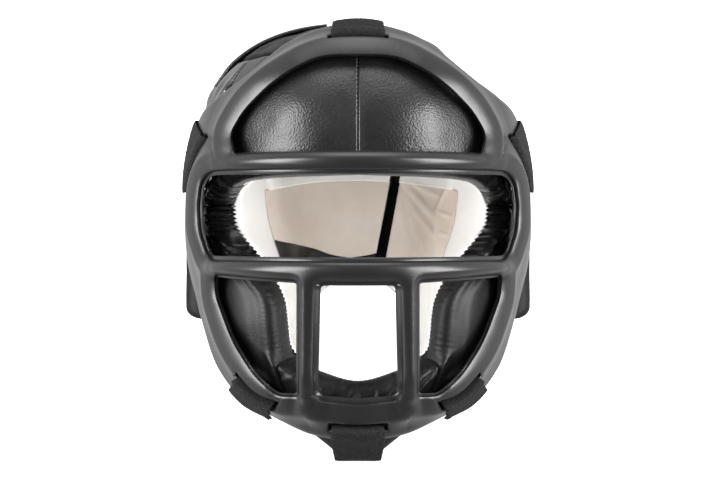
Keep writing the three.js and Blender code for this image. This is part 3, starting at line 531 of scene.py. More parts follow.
class Pad:
    """The points of a padded panel: its outer and inner surface and where each point lies on it.

    Free edges have a full roll and sewn edges a small one, in the order left, right, low, high.
    A roll may also be a function of the share along the edge. The relief is how far each outer
    point stands off the smooth pad, square to its surface, and the swell by height is how much the
    padding stands in from the body's even thickness.
    """

    def __init__(
        self, place, thickness, rolls, steps=(PAD_STEP, PAD_STEP), lift=0.0, flat_base=False, swell=no_swell
    ):
        self.place = place
        self.thickness = thickness
        self.rolls = rolls
        self.wide = panel_length(place, True)
        self.tall = panel_length(place, False)
        widest = [EDGE_ROLL if callable(roll) else roll for roll in rolls]
        across = pad_shares(self.wide, widest[0], widest[1], steps[0])
        up = pad_shares(self.tall, widest[2], widest[3], steps[1])
        s, t = np.meshgrid(across, up)
        self.s, self.t = s, t
        self.turn, self.z = place(s, t)
        self.normal = body_normal(self.turn, self.z)
        self.surface = body_point(self.turn, self.z) + self.normal * lift
        self.left, self.right, self.low, self.high = self.distances(s, t)
        self.puff = self.puff_at(s, t, range(4))
        self.swell = swell
        reach = self.reach(self.puff)
        if flat_base:
            self.out = 2 * reach
            self.into = np.zeros(s.shape)
        else:
            self.out = reach - thickness / 2
            self.into = -reach - thickness / 2 - swell(self.z) * self.puff
        self.relief = np.zeros(s.shape)
        self.inner_relief = np.zeros(s.shape)

    def distances(self, s, t):
        return s * self.wide, (1 - s) * self.wide, t * self.tall, (1 - t) * self.tall

    def puff_at(self, s, t, edges):
        puff = 1.0
        for edge in edges:
            roll = self.rolls[edge]
            if callable(roll):
                roll = roll(t if edge in (LEFT, RIGHT) else s)
            puff = puff * roll_rise(self.distances(s, t)[edge], roll)
        return puff

    def reach(self, puff):
        thin = EDGE_THICKNESS / 2
        return thin + (self.thickness / 2 - thin) * puff

    def raised(self, off, relief, way_out):
        smooth = self.surface + self.normal * off[..., None]
        facing = unit(np.cross(np.gradient(smooth, axis=1), np.gradient(smooth, axis=0)))
        facing *= np.sign((facing * self.normal).sum()) * way_out
        return smooth + facing * relief[..., None]

    def outer(self):
        return self.raised(self.out, self.relief, 1)

    def inner(self):
        return self.raised(self.into, self.inner_relief, -1)


def shell_faces(high, wide):
    """Quads of a closed wall between an outer and an inner grid."""
    index = np.arange(high * wide).reshape(high, wide)
    back = index + high * wide
    faces = []
    for j in range(high - 1):
        for i in range(wide - 1):
            faces.append((index[j, i], index[j, i + 1], index[j + 1, i + 1], index[j + 1, i]))
            faces.append((back[j, i], back[j + 1, i], back[j + 1, i + 1], back[j, i + 1]))
    for j in range(high - 1):
        faces.append((index[j, 0], index[j + 1, 0], back[j + 1, 0], back[j, 0]))
        faces.append((index[j + 1, -1], index[j, -1], back[j, -1], back[j + 1, -1]))
    for i in range(wide - 1):
        faces.append((index[0, i + 1], index[0, i], back[0, i], back[0, i + 1]))
        faces.append((index[-1, i], index[-1, i + 1], back[-1, i + 1], back[-1, i]))
    return [tuple(int(v) for v in face) for face in faces]


def mirror_points(points):
    return points * np.array([-1.0, 1.0, 1.0])


def new_object(name, points, faces, material, floor=None):
    """A smooth mesh from upright points in millimetres, kept above the floor if one is given."""
    placed = to_rest(np.asarray(points, float).reshape(-1, 3))
    if floor is not None:
        placed[:, 2] = np.maximum(placed[:, 2], floor * MM)
    mesh = bpy.data.meshes.new(name)
    mesh.from_pydata(placed.tolist(), [], faces)
    mesh.validate()
    tidy = bmesh.new()
    tidy.from_mesh(mesh)
    bmesh.ops.recalc_face_normals(tidy, faces=tidy.faces)
    tidy.to_mesh(mesh)
    tidy.free()
    mesh.shade_smooth()
    mesh.materials.append(material)
    made = bpy.data.objects.new(name, mesh)
    bpy.context.scene.collection.objects.link(made)
    return made


def sided(name, is_left):
    return f"{name}_left" if is_left else f"{name}_right"


def keep(piece, slot, *nodes):
    """Rides on the one body and stands for nodes of the solids, which it hides. The slot is not used."""
    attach(piece, "root")
    if nodes:
        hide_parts(*nodes)
    return piece


def wall_object(name, outer, inner, material, is_left=False, floor=None, sags=True):
    """A closed wall between an outer and an inner grid of points."""
    points = np.concatenate([outer.reshape(-1, 3), inner.reshape(-1, 3)])
    if is_left:
        points = mirror_points(points)
    if sags:
        points = sagged(points)
    return new_object(name, points, shell_faces(*outer.shape[:2]), material, floor)


def keep_pad(node, pad, material, is_left=False, floor=None):
    """A pad's leather, in place of its solid."""
    piece = wall_object(f"{node}_leather", pad.outer(), pad.inner(), material, is_left, floor)
    keep(piece, "leather", node)


# Materials: scales are per metre and depths of bumps in metres.
NOISE_ROUGH = 0.55
GRAIN = {"smooth": 0.35, "strength": 0.55}
FINE_GRAIN = {"scale": 1.7, "detail": 2, "strength": 0.3, "depth": 0.6}
WEAR = {"scale": 28, "detail": 4, "less": 0.09, "more": 0.1}
FADED = {"scale": 60, "detail": 5, "from": 0.4, "to": 0.75, "lighter": 2.0}
BLACK = (0.003, 0.003, 0.0033)
PLASTIC_LOOK = {
    "mean": (0.006, 0.0061, 0.0066),
    "dark": (0.005, 0.0051, 0.0055),
    "light": (0.007, 0.0071, 0.0076),
    "rough": (0.28, 0.38),
}
WEAVE_LOOK = {
    "mean": (0.005, 0.005, 0.0055),
    "dark": (0.0012, 0.0012, 0.0013),
    "light": (0.009, 0.009, 0.0095),
    "from": 0.35,
    "to": 0.68,
}


class Nodes:
    """A short way to write a node tree."""

    def __init__(self, name, colour, roughness, **settings):
        self.material = bpy.data.materials.new(name)
        self.material.use_nodes = True
        self.tree = self.material.node_tree
        self.shader = self.tree.nodes["Principled BSDF"]
        self.shader.inputs["Base Color"].default_value = (*colour, 1)
        self.shader.inputs["Roughness"].default_value = roughness
        for key, value in settings.items():
            self.shader.inputs[key.replace("_", " ")].default_value = value
        self.coordinates = self.tree.nodes.new("ShaderNodeTexCoord").outputs["Object"]
        self.last_normal = None

    def add(self, kind, inputs=None, **settings):
        node = self.tree.nodes.new(f"ShaderNode{kind}")
        for key, value in settings.items():
            setattr(node, key, value)
        for key, value in (inputs or {}).items():
            if isinstance(value, bpy.types.NodeSocket):
                self.tree.links.new(value, node.inputs[key])
            else:
                node.inputs[key].default_value = value
        return node

    def noise(self, scale, detail=3.0):
        inputs = {"Vector": self.coordinates, "Scale": scale, "Detail": detail, "Roughness": NOISE_ROUGH}
        return self.add("TexNoise", inputs).outputs["Fac"]

    def cells(self, scale, smooth):
        inputs = {"Vector": self.coordinates, "Scale": scale, "Smoothness": smooth}
        return self.add("TexVoronoi", inputs, feature="SMOOTH_F1").outputs["Distance"]

    def ramp(self, factor, low, high):
        inputs = {"Value": factor, "From Min": low, "From Max": high}
        return self.add("MapRange", inputs).outputs["Result"]

    def between(self, factor, low, high):
        inputs = {"Value": factor, "To Min": low, "To Max": high}
        return self.add("MapRange", inputs).outputs["Result"]

    def colours(self, factor, low, high):
        node = self.add("Mix", {"Factor": factor}, data_type="RGBA")
        for socket in node.inputs:
            if socket.type == "RGBA":
                socket.default_value = (*low, 1) if socket.name == "A" else (*high, 1)
        return next(socket for socket in node.outputs if socket.type == "RGBA")

    def link(self, socket, name):
        self.tree.links.new(socket, self.shader.inputs[name])

    def relief(self, height, strength, distance):
        inputs = {"Height": height, "Strength": strength, "Distance": distance}
        if self.last_normal is not None:
            inputs["Normal"] = self.last_normal
        self.last_normal = self.add("Bump", inputs).outputs["Normal"]
        self.link(self.last_normal, "Normal")


# Upright heights in millimetres between which the leather turns shinier, and how much duller it is below.
SHINE_FROM = {"low": -26.0, "high": -8.0, "duller": 0.19}


def dullness(nodes):
    """How much rougher a place is, by its height on the upright headgear."""
    axis = np.array([0.0, math.sin(LEAN), math.cos(LEAN)])
    product = nodes.add("VectorMath", {0: nodes.coordinates, 1: axis}, operation="DOT_PRODUCT")
    height = product.outputs["Value"]
    start = to_rest(np.zeros(3)) @ axis
    inputs = {"Value": height, "To Min": SHINE_FROM["duller"], "To Max": 0.0}
    inputs["From Min"] = start + SHINE_FROM["low"] * MM
    inputs["From Max"] = start + SHINE_FROM["high"] * MM
    return nodes.add("MapRange", inputs).outputs["Result"]


def leather_material(name, grain_scale, grain_depth, roughness, colour, gloss=0.5, is_dull_below=False):
    nodes = Nodes(name, colour, roughness, Specular_IOR_Level=gloss)
    nodes.relief(nodes.cells(grain_scale, GRAIN["smooth"]), GRAIN["strength"], grain_depth)
    fine = nodes.noise(grain_scale * FINE_GRAIN["scale"], FINE_GRAIN["detail"])
    nodes.relief(fine, FINE_GRAIN["strength"], grain_depth * FINE_GRAIN["depth"])
    worn = nodes.noise(WEAR["scale"], WEAR["detail"])
    rough = nodes.between(worn, roughness - WEAR["less"], roughness + WEAR["more"])
    if is_dull_below:
        rough = nodes.add("Math", {0: rough, 1: dullness(nodes)}, operation="ADD").outputs["Value"]
    nodes.link(rough, "Roughness")
    lighter = tuple(channel * FADED["lighter"] for channel in colour)
    faded = nodes.ramp(nodes.noise(FADED["scale"], FADED["detail"]), FADED["from"], FADED["to"])
    nodes.link(nodes.colours(faded, colour, lighter), "Base Color")
    return nodes.material


def plastic_material():
    look = PLASTIC_LOOK
    nodes = Nodes("satin_plastic", look["mean"], roughness=0.33, Specular_IOR_Level=0.5)
    nodes.relief(nodes.noise(scale=2600, detail=2), strength=0.12, distance=0.00008)
    nodes.link(nodes.between(nodes.noise(scale=18, detail=4), *look["rough"]), "Roughness")
    nodes.link(nodes.colours(nodes.noise(scale=9), look["dark"], look["light"]), "Base Color")
    return nodes.material


def webbing_material():
    look = WEAVE_LOOK
    nodes = Nodes("webbing", look["mean"], roughness=0.8, Specular_IOR_Level=0.25)
    weave = nodes.noise(scale=760, detail=2)
    nodes.relief(weave, strength=0.9, distance=0.0007)
    threads = nodes.ramp(weave, look["from"], look["to"])
    nodes.link(nodes.colours(threads, look["dark"], look["light"]), "Base Color")
    return nodes.material


def lining_material(name, low, high, bump_scale):
    nodes = Nodes(name, high, roughness=0.85, Sheen_Weight=0.15, Sheen_Roughness=0.6)
    nodes.relief(nodes.noise(bump_scale), strength=0.4, distance=0.0002)
    nodes.relief(nodes.noise(scale=90), strength=0.25, distance=0.0012)
    patches = nodes.ramp(nodes.noise(scale=22, detail=4), low=0.3, high=0.7)
    nodes.link(nodes.colours(patches, low, high), "Base Color")
    return nodes.material


def thread_material(name, colour):
    nodes = Nodes(name, colour, roughness=0.7, Sheen_Weight=0.2)
    nodes.relief(nodes.noise(scale=3000, detail=2), strength=0.4, distance=0.0001)
    nodes.link(nodes.between(nodes.noise(scale=300), low=0.6, high=0.8), "Roughness")
    return nodes.material


LEATHER = leather_material("pebbled_leather", 760, 0.0003, 0.36, (0.0035, 0.0035, 0.0038))
GLOSSY_LEATHER = leather_material("glossy_leather", 1000, 0.00014, 0.37, BLACK)
DULL_LEATHER = leather_material("dull_leather", 800, 0.0002, 0.5, BLACK, gloss=0.15)
CHEEK_LEATHER = leather_material("cheek_leather", 1000, 0.00014, 0.28, BLACK, gloss=0.27, is_dull_below=True)
TEMPLE_LEATHER = leather_material("temple_leather", 800, 0.0002, 0.26, BLACK, gloss=1.0)
PLASTIC = plastic_material()
WEBBING = webbing_material()
WHITE = lining_material("white_lining", (0.86, 0.84, 0.82), (0.92, 0.91, 0.89), 1800)
BEIGE = lining_material("beige_lining", (0.66, 0.56, 0.47), (0.78, 0.71, 0.64), 1600)
GREY_THREAD = thread_material("grey_thread", (0.1, 0.1, 0.1))


# Stitches: short threads, with their thickness at shares of their length.
STITCH = {"first": 0.5, "pitch": 3.1, "long": 1.4, "radius": 0.22, "around": 8}
STITCH_ENDS = ((0, 0.3), (0.12, 0.8), (0.3, 1.0), (0.7, 1.0), (0.88, 0.8), (1, 0.3))
STITCH_SIDE = (0.3, 1.0, 0.2)


def stitch_lines(path):
    """Start and end points of stitches along a line."""
    way = way_along(path)
    starts = np.arange(STITCH["first"], way[-1] - STITCH["long"], STITCH["pitch"])
    for start in starts:
        ends = (start, start + STITCH["long"])
        yield [np.array([np.interp(at, way, path[:, axis]) for axis in range(3)]) for at in ends]


def stitches(name, path, material):
    """Short threads with rounded ends along a line."""
    around = STITCH["around"]
    angles = np.linspace(0, 2 * math.pi, around, endpoint=False)
    sections = []
    faces = []
    for start, end in stitch_lines(path):
        ahead = unit(end - start)
        side = unit(np.cross(ahead, STITCH_SIDE))
        up = np.cross(ahead, side)
        ring = np.cos(angles)[:, None] * side + np.sin(angles)[:, None] * up
        first = len(sections) * around
        for share, thick in STITCH_ENDS:
            sections.append(lerp(start, end, share) + ring * STITCH["radius"] * thick)
        faces += [tuple(first + v for v in face) for face in loft_faces(len(STITCH_ENDS), around)]
    return keep(new_object(name, np.concatenate(sections), faces, material), None)


# The padded body.
COVER = {"step": 6.0, "frames": 20, "pressure": 4.0, "stiff": 8.0, "most_out": 5.0, "most_in": -2.0}


def swollen(pad):
    """How far a pad's outer cover moves when its filling presses on it, from a cloth simulation."""
    shares = pad.s[0], pad.t[:, 0]
    columns, rows = (
        np.unique(np.searchsorted(share, np.linspace(0, 1 - 1e-9, int(length / COVER["step"]))))
        for share, length in zip(shares, (pad.wide, pad.tall))
    )
    picked = np.ix_(rows, columns)
    cover = wall_object("cover", pad.outer()[picked], pad.inner()[picked], LEATHER, sags=False)
    before = np.array([vertex.co for vertex in cover.data.vertices])
    facing = np.array([vertex.normal for vertex in cover.data.vertices])
    count = len(rows) * len(columns)
    index = np.arange(count).reshape(len(rows), len(columns))
    sewn = np.concatenate([index[0], index[-1], index[:, 0], index[:, -1], np.arange(count, 2 * count)])
    cover.vertex_groups.new(name="sewn").add(sewn.tolist(), 1.0, "REPLACE")
    cloth = cover.modifiers.new("cover", "CLOTH")
    cloth.settings.vertex_group_mass = "sewn"
    cloth.settings.use_pressure = True
    cloth.settings.uniform_pressure_force = COVER["pressure"]
    cloth.settings.tension_stiffness = COVER["stiff"]
    cloth.settings.compression_stiffness = COVER["stiff"]
    cloth.settings.effector_weights.gravity = 0
    cloth.point_cache.frame_end = COVER["frames"]
    for number in range(1, COVER["frames"] + 1):
        bpy.context.scene.frame_set(number)
    done = cover.evaluated_get(bpy.context.evaluated_depsgraph_get())
    after = np.array([vertex.co for vertex in done.data.vertices])
    bpy.context.scene.frame_set(1)
    mesh = cover.data
    bpy.data.objects.remove(cover)
    bpy.data.meshes.remove(mesh)
    moved = ((after - before) * facing).sum(axis=1)[:count].reshape(index.shape) / MM
    moved = np.clip(moved, COVER["most_in"], COVER["most_out"])
    wide = np.array([np.interp(shares[0], shares[0][columns], line) for line in moved])
    return np.array([np.interp(shares[1], shares[1][rows], line) for line in wide.T]).T


SEAM_ROLL = 3.0
FLAT_SEAM_ROLL = 1.2
TEMPLE_ROLL = 6.0
# Where the face opening ends along the temple's lower edge, and where it starts up the cheek's front edge.
CORNER_SHARE = 0.26
CHIN_SHARE = 0.325
FOREHEAD_SEAM = {"step": 0.35, "fine_within": 2.2, "deep": 1.1, "wide": 0.55, "dip": 0.5, "dip_wide": 4}
FOREHEAD_SWELL = {"height": 3.4, "from_seam": 38, "z": 72, "half": 26}
FOREHEAD_STEP = 1.7
FOREHEAD_STITCHES = {"beside": 0.7, "from_z": 46, "to_z": 116}
# Unevenness of the leather: height, distance between its hills, and seed.
FOREHEAD_UNEVEN = (0.3, 12, 21)
CROWN_UNEVEN = (0.8, 14, 41)
CHEEK_UNEVEN = {"left": (0.8, 16, 31), "right": (0.8, 16, 32)}


def uneven(pad, height, distance, seed):
    return height * noise(pad.left / distance, pad.low / distance, seed) * pad.puff


def forehead():
    place = middle_panel(FOREHEAD_TURN, brow_z, below_crown)
    middle = panel_length(place, True) / 2

    def step(way):
        return FOREHEAD_SEAM["step"] if abs(way - middle) < FOREHEAD_SEAM["fine_within"] else FOREHEAD_STEP

    rolls = (SEAM_ROLL, SEAM_ROLL, EDGE_ROLL, SEAM_ROLL)
    pad = Pad(place, PAD_THICKNESS, rolls, (step, FOREHEAD_STEP))
    pad.relief += swollen(pad)
    seam = np.abs(pad.left - pad.wide / 2)
    form = FOREHEAD_SWELL
    swell = form["height"] * bump(seam, form["from_seam"], form["half"])
    swell = swell * bump(pad.z, form["z"], form["half"])
    groove = FOREHEAD_SEAM["deep"] * bump(seam, 0, FOREHEAD_SEAM["wide"])
    dip = FOREHEAD_SEAM["dip"] * bump(seam, 0, FOREHEAD_SEAM["dip_wide"])
    pad.relief += (swell - groove - dip) * pad.puff
    pad.relief += uneven(pad, *FOREHEAD_UNEVEN)
    keep_pad("forehead_pad", pad, LEATHER)
    path = pad.outer()[:, np.argmin(np.abs(seam[0] - FOREHEAD_STITCHES["beside"]))]
    height = pad.z[:, 0]
    shown = (height > FOREHEAD_STITCHES["from_z"]) & (height < FOREHEAD_STITCHES["to_z"])
    stitches("forehead_stitches", path[shown], GREY_THREAD)
    return pad


# Gathers: sizes of the noises that bend and vary them along and across the edge.
GATHER = {"sharp": 0.7, "middle": 0.75, "full": 0.35, "even": 0.8, "uneven": 0.5, "spread": 0.05}
GATHER_BEND = (12, 15)
GATHER_SPREAD = (25, 60)
GATHER_UNEVEN = (9, 20)
VALLEY = {"deep": 2.0, "wide": 6.0}
# Folds across the face roll, where the gathers are high enough.
ROLL_FOLDS = {"spacing": 11, "reach": 1.8, "wide": 1.5, "high": 1.6, "from": 0.5, "to": 1.5, "seed": 50}
# The inner side takes on the gathers near its edge only, and rises no further than this.
INNER_FADE = (2, 8)
INNER_RISE = 0.1
SHIFT_RIGHT = 4.5
CHEEK_SWELL = {"in": 4.5, "low": -25, "high": 12}
# Steps of a pad's points: fine until a distance from its edge, then coarse.
CHEEK_STEPS = {"across": (0.9, 34, 3.0), "up": 0.6}
CHEEK_ROLL = {
    "open_blend": 0.04,
    "valley": (11.0, 19.0),
    "valley_z": (-38, -5),
    "gathers_per_mm": 0.427,
    "fewer_higher": 0.00087,
    "height": (0.25, 2.0),
    "height_z": (-40, -5),
    "seed": {"left": 11, "right": 12},
}
TEMPLE_SWELL = {"low": 25, "high": 70}
TEMPLE_STEPS = {"across": (0.7, 45, 2.4), "up": (1.0, 30, 2.0)}
TEMPLE_FACE = {"roll_blend": 0.05, "blend": 0.12, "pitch": 4.5, "valley": 17.0, "height": 2.0}
TEMPLE_SEED = {"left": 13, "right": 14}
# Slack leather with large and small slanted folds at the upper left.
SLACK = {"z": 92, "half_z": 22, "turn": 84, "half_turn": 24, "height": 2.6}
SLACK_FOLDS = ((2.2, 7, 14, 30, 43), (1.3, 2.6, 9, 16, 44))
CHIN_FACE = {"end_roll": 2.5, "blend": 0.22, "steps": (0.65, 1.2), "seam_deep": 1.0, "seam_wide": 0.9}
CHIN_PUCKERS = {"height": 0.25, "pitch": 3.2, "reach": 18, "seed": 15}
CHIN_FOLDS = {"slant": 0.8, "spacing": 9, "reach": 34, "wide": 1.6, "high": 1.4, "seed": 16}
EVEN_STEPS = (2.0, 2.0)


def gathers(phase, along, depth, reach, seed):
    """Rounded ridges with sharp valleys that run in from an edge and fade out."""
    bend, spread, change = (
        noise(along / size[0], depth / size[1], seed + extra)
        for extra, size in enumerate((GATHER_BEND, GATHER_SPREAD, GATHER_UNEVEN))
    )
    wander = bend + GATHER["spread"] * depth * spread
    ridges = np.abs(np.sin(math.pi * (phase + wander))) ** GATHER["sharp"] - GATHER["middle"]
    heights = GATHER["even"] + GATHER["uneven"] * change
    return ridges * heights * (1 - smoothstep(GATHER["full"] * reach, reach, depth))


def face_roll(pad, depth, along, phase, valley_depth, height, sewn, seed):
    """The rolled edge of the face opening: a valley behind it and gathers that run in from the edge."""
    valley = VALLEY["deep"] * bump(depth, valley_depth, VALLEY["wide"]) * smoothstep(*INNER_FADE, depth)
    fine = height * gathers(phase, along, depth, valley_depth, seed)
    form = ROLL_FOLDS
    reach = form["reach"] * valley_depth
    folds = creases(
        along, depth, along.max(), form["spacing"], reach, form["wide"], form["high"], seed + form["seed"]
    )
    folds = folds * smoothstep(form["from"], form["to"], height)
    tied = np.sqrt(pad.puff_at(pad.s, pad.t, sewn))
    pad.relief += (fine + folds - valley) * tied
    pad.inner_relief += np.minimum(fine + folds, INNER_RISE) * tied * (1 - smoothstep(*INNER_FADE, depth))


def cheek_swell(is_left):
    """The padding stands in more below, and the face opening lies a little to the right."""
    less = 0.0 if is_left else SHIFT_RIGHT

    def swell(z):
        return CHEEK_SWELL["in"] * (1 - smoothstep(CHEEK_SWELL["low"], CHEEK_SWELL["high"], z)) - less

    return swell


def cheek_open(share):
    blend = CHEEK_ROLL["open_blend"]
    return smoothstep(CHIN_SHARE - blend, CHIN_SHARE + blend, share)


def cheek_face_roll(share):
    return lerp(FLAT_SEAM_ROLL, EDGE_ROLL, cheek_open(share))


def stepping(fine, until, coarse):
    """Steps in from an edge: fine near it, then coarse."""
    def step(way):
        return fine if way < until else coarse
    return step


def cheek(is_left):
    side = "left" if is_left else "right"
    form = CHEEK_ROLL
    rolls = (cheek_face_roll, SEAM_ROLL, EDGE_ROLL, FLAT_SEAM_ROLL)
    steps = (stepping(*CHEEK_STEPS["across"]), CHEEK_STEPS["up"])
    pad = Pad(cheek_place(), PAD_THICKNESS, rolls, steps, swell=cheek_swell(is_left))
    pad.relief += swollen(pad)
    valley_depth = lerp(*form["valley"], smoothstep(*form["valley_z"], pad.z))
    phase = form["gathers_per_mm"] * pad.low - form["fewer_higher"] * pad.low**2
    height = lerp(*form["height"], smoothstep(*form["height_z"], pad.z))
    face_roll(pad, pad.left, pad.low, phase, valley_depth, height, (RIGHT, LOW, HIGH), form["seed"][side])
    pad.relief += uneven(pad, *CHEEK_UNEVEN[side])
    keep_pad(f"cheek_pad_{side}", pad, CHEEK_LEATHER, is_left=is_left, floor=0)
    return pad


def temple_swell(z):
    return -SHIFT_RIGHT * (1 - smoothstep(TEMPLE_SWELL["low"], TEMPLE_SWELL["high"], z))


def temple_low_roll(share):
    blend = TEMPLE_FACE["roll_blend"]
    return lerp(TEMPLE_ROLL, FLAT_SEAM_ROLL, smoothstep(CORNER_SHARE - blend, CORNER_SHARE + blend, share))


def slack_folds(pad):
    folds = SLACK["height"]
    for height, turn_size, slant_size, z_size, seed in SLACK_FOLDS:
        folds = folds + height * noise(pad.turn / turn_size + pad.z / slant_size, pad.z / z_size, seed)
    slack = bump(pad.z, SLACK["z"], SLACK["half_z"]) * bump(pad.turn, SLACK["turn"], SLACK["half_turn"])
    return slack * folds * pad.puff


def temple(is_left):
    side = "left" if is_left else "right"
    form = TEMPLE_FACE
    rolls = (SEAM_ROLL, SEAM_ROLL, temple_low_roll, SEAM_ROLL)
    swell = no_swell if is_left else temple_swell
    steps = (stepping(*TEMPLE_STEPS["across"]), stepping(*TEMPLE_STEPS["up"]))
    pad = Pad(temple_place(), PAD_THICKNESS, rolls, steps, swell=swell)
    settled = swollen(pad)
    is_open = 1 - smoothstep(CORNER_SHARE, CORNER_SHARE + form["blend"], pad.left / pad.wide)
    phase = pad.left / form["pitch"]
    sewn = (LEFT, RIGHT, HIGH)
    face_roll(pad, pad.low, pad.left, phase, form["valley"], form["height"], sewn, TEMPLE_SEED[side])
    pad.relief = pad.relief * is_open + settled
    pad.inner_relief *= is_open
    if is_left:
        pad.relief += slack_folds(pad)
    keep_pad(f"temple_pad_{side}", pad, TEMPLE_LEATHER, is_left=is_left)
    return pad


def chin_face_roll(share):
    from_end = np.minimum(share, 1 - share)
    return lerp(CHIN_FACE["end_roll"], EDGE_ROLL, smoothstep(0, CHIN_FACE["blend"], from_end))


def chin():
    rolls = (FLAT_SEAM_ROLL, FLAT_SEAM_ROLL, EDGE_ROLL, chin_face_roll)
    place = middle_panel(CHIN_TURN, chin_rim_z, mouth_z)
    pad = Pad(place, CHIN_PAD_THICKNESS, rolls, CHIN_FACE["steps"])
    pad.relief += swollen(pad)
    seam = np.abs(pad.left - pad.wide / 2)
    pad.relief -= CHIN_FACE["seam_deep"] * bump(seam, 0, CHIN_FACE["seam_wide"]) * pad.puff
    form = CHIN_PUCKERS
    folds = gathers(pad.left / form["pitch"], pad.left, pad.high, form["reach"], form["seed"])
    puckers = form["height"] * folds
    form = CHIN_FOLDS
    along = pad.left + form["slant"] * pad.high
    sizes = (form[key] for key in ("spacing", "reach", "wide", "high", "seed"))
    slanted = creases(along, pad.high, pad.wide, *sizes)
    tied = np.sqrt(pad.puff_at(pad.s, pad.t, (LEFT, RIGHT, LOW)))
    pad.relief += (puckers + slanted) * tied
    pad.inner_relief += puckers * tied * (1 - smoothstep(*INNER_FADE, pad.high))
    keep_pad("chin_pad", pad, CHEEK_LEATHER, floor=STRAP_THICKNESS + STRAP_GAP)
    return pad


def crown():
    pad = Pad(crown_place, CROWN_PAD_THICKNESS, (SEAM_ROLL,) * 4)
    pad.relief += swollen(pad)
    pad.relief += uneven(pad, *CROWN_UNEVEN)
    keep_pad("crown_pad", pad, DULL_LEATHER)


def ear(is_left):
    rolls = (EAR_PAD["roll"],) * 4
    pad = Pad(ear_place, EAR_PAD["height"], rolls, EVEN_STEPS, EAR_PAD["lift"], flat_base=True)
    pad.relief += swollen(pad)
    keep_pad(sided("ear_pad", is_left), pad, DULL_LEATHER, is_left=is_left)


def flap(is_right):
    rolls = [FLAP_ROLL, FLAP_ROLL, FLAP_ROLL, SEAM_ROLL]
    rolls[LEFT if is_right else RIGHT] = SEAM_ROLL
    pad = Pad(flap_place(is_right), FLAP_THICKNESS, rolls, EVEN_STEPS)
    pad.relief += swollen(pad)
    keep_pad(sided("back_flap", not is_right), pad, LEATHER, floor=0)
    return pad


# Linings.
LINING_GAP = 0.3
LINING_THICKNESS = 1.2
LINING_OVERLAP = 1.5
TOOTH = {"pitch": 2.6, "deep": 2.6, "step": 0.35, "second_row": 0.3}
# Where the teeth start, in from the edge, and where the lining ends, short of the far edge.
TEETH_START = {"left": 1.8, "right": 0.6, "temple": 0.8}
LINING_END = 0.8
FIRST_COLUMNS = [4.6, 6, 8, 12]
COLUMN_STEP = 4.0
CORNER_BLEND = 0.05
# The back linings reach over the side seam onto the thicker pads.
# The bands above and below them dive under the linings there.
BACK_SEAM = {"forward": 12.0, "right_forward": 16.0, "from": -4.0, "to": 42.0, "short_of_gap": 1.0}
BACK_BAND = {"sunk": 1.6, "dive": 6.0, "past_end": 200.0, "overlap": 0.5}
BACK_BINDING = {"tall": 22, "overlap": 0.3, "sunk": 0.3}
# Shares up a back flap at which its middle turn is taken, the height there,
# and how near the flap's ends a lining may come.
BACK_MIDDLE = {"shares": (0.45, 0.75), "z": 15.0, "nearest_end": 0.01}
# Edges of the beige lining as seen from the front, on the upright plane across the middle.
BACK_TOP = {"x": [0, 18.5, 32, 45, 55, 61.6, 68], "z": [38.6, 38, 37, 35.2, 33.3, 31, 27]}
LEFT_FOOT = {"x": [0, 18.5, 33, 50, 54.8, 62], "z": [-14, -11.5, -7.5, -4.4, -3.3, -1]}
BACK_CORNER_Z = -22.0
BACK_STEP = 1.4
# How far along itself a fold starts, and how far before its far end it stops.
FOLD_END = 0.04


def all_open(share):
    return np.ones(np.shape(share))


def corner_open(share):
    return 1 - smoothstep(CORNER_SHARE, CORNER_SHARE + CORNER_BLEND, share)


def lining_points(pad, s, t, puff, sunk):
    """Points a little off the inner side of a pad."""
    turn, z = pad.place(s, t)
    depth = pad.reach(puff) + pad.swell(z) * puff + pad.thickness / 2 + sunk
    return body_point(turn, z) - body_normal(turn, z) * depth[..., None]


def edge_shares(pad, edge, way, depth):
    """Shares across and up a pad for places along an edge and a depth in from it."""
    if edge == LEFT:
        return depth / pad.wide, way / pad.tall + 0 * depth
    if edge == LOW:
        return way / pad.wide + 0 * depth, depth / pad.tall
    return way / pad.wide + 0 * depth, 1 - depth / pad.tall


def pinked_grids(pad, edge, is_open, sunk, start, roll):
    """Both sides of a lining whose edge is cut in teeth where the pad's edge is open."""
    length, far = (pad.tall, pad.wide) if edge == LEFT else (pad.wide, pad.tall)
    spare = LINING_OVERLAP
    way = np.linspace(-spare, length + spare, int((length + 2 * spare) / TOOTH["step"]))[:, None]
    saw = np.abs((way / TOOTH["pitch"]) % 1 - 0.5) * 2
    free = is_open(way / length)
    first = lerp(-spare, start + TOOTH["deep"] * saw, free)
    even_columns = np.arange(FIRST_COLUMNS[-1] + COLUMN_STEP, far, COLUMN_STEP)
    columns = [*FIRST_COLUMNS, *even_columns, far - LINING_END]
    inward = np.broadcast_to(columns, (len(way), len(columns)))
    depth = np.concatenate([first, first + TOOTH["second_row"], inward], axis=1)
    s, t = edge_shares(pad, edge, way, depth)
    puff = lerp(1.0, roll_rise(depth, roll), free)
    return [lining_points(pad, s, t, puff, under) for under in (sunk, sunk + LINING_THICKNESS)]


def lining(
    name, pad, edge, is_open=all_open, is_left=False,
    sunk=LINING_GAP, start=TEETH_START["left"], roll=EDGE_ROLL,
):
    """A white lining on a pad's inner side with a pinked edge along the face opening."""
    grids = pinked_grids(pad, edge, is_open, sunk, start, roll)
    piece = keep(wall_object(f"{name}_cloth", *grids, WHITE, is_left), "white_lining", name)


def fold(points, start, end, width, height):
    """A ridge along a line given by its width and height places."""
    line = np.subtract(end, start)
    place = points[..., [0, 2]] - start
    share = np.clip(place @ line / (line @ line), 0, 1)
    off = np.linalg.norm(place - share[..., None] * line, axis=-1)
    along = lerp(FOLD_END, 1 - FOLD_END, share)
    return height * np.exp(-((off / width) ** 2)) * np.sin(math.pi * along) ** 0.5


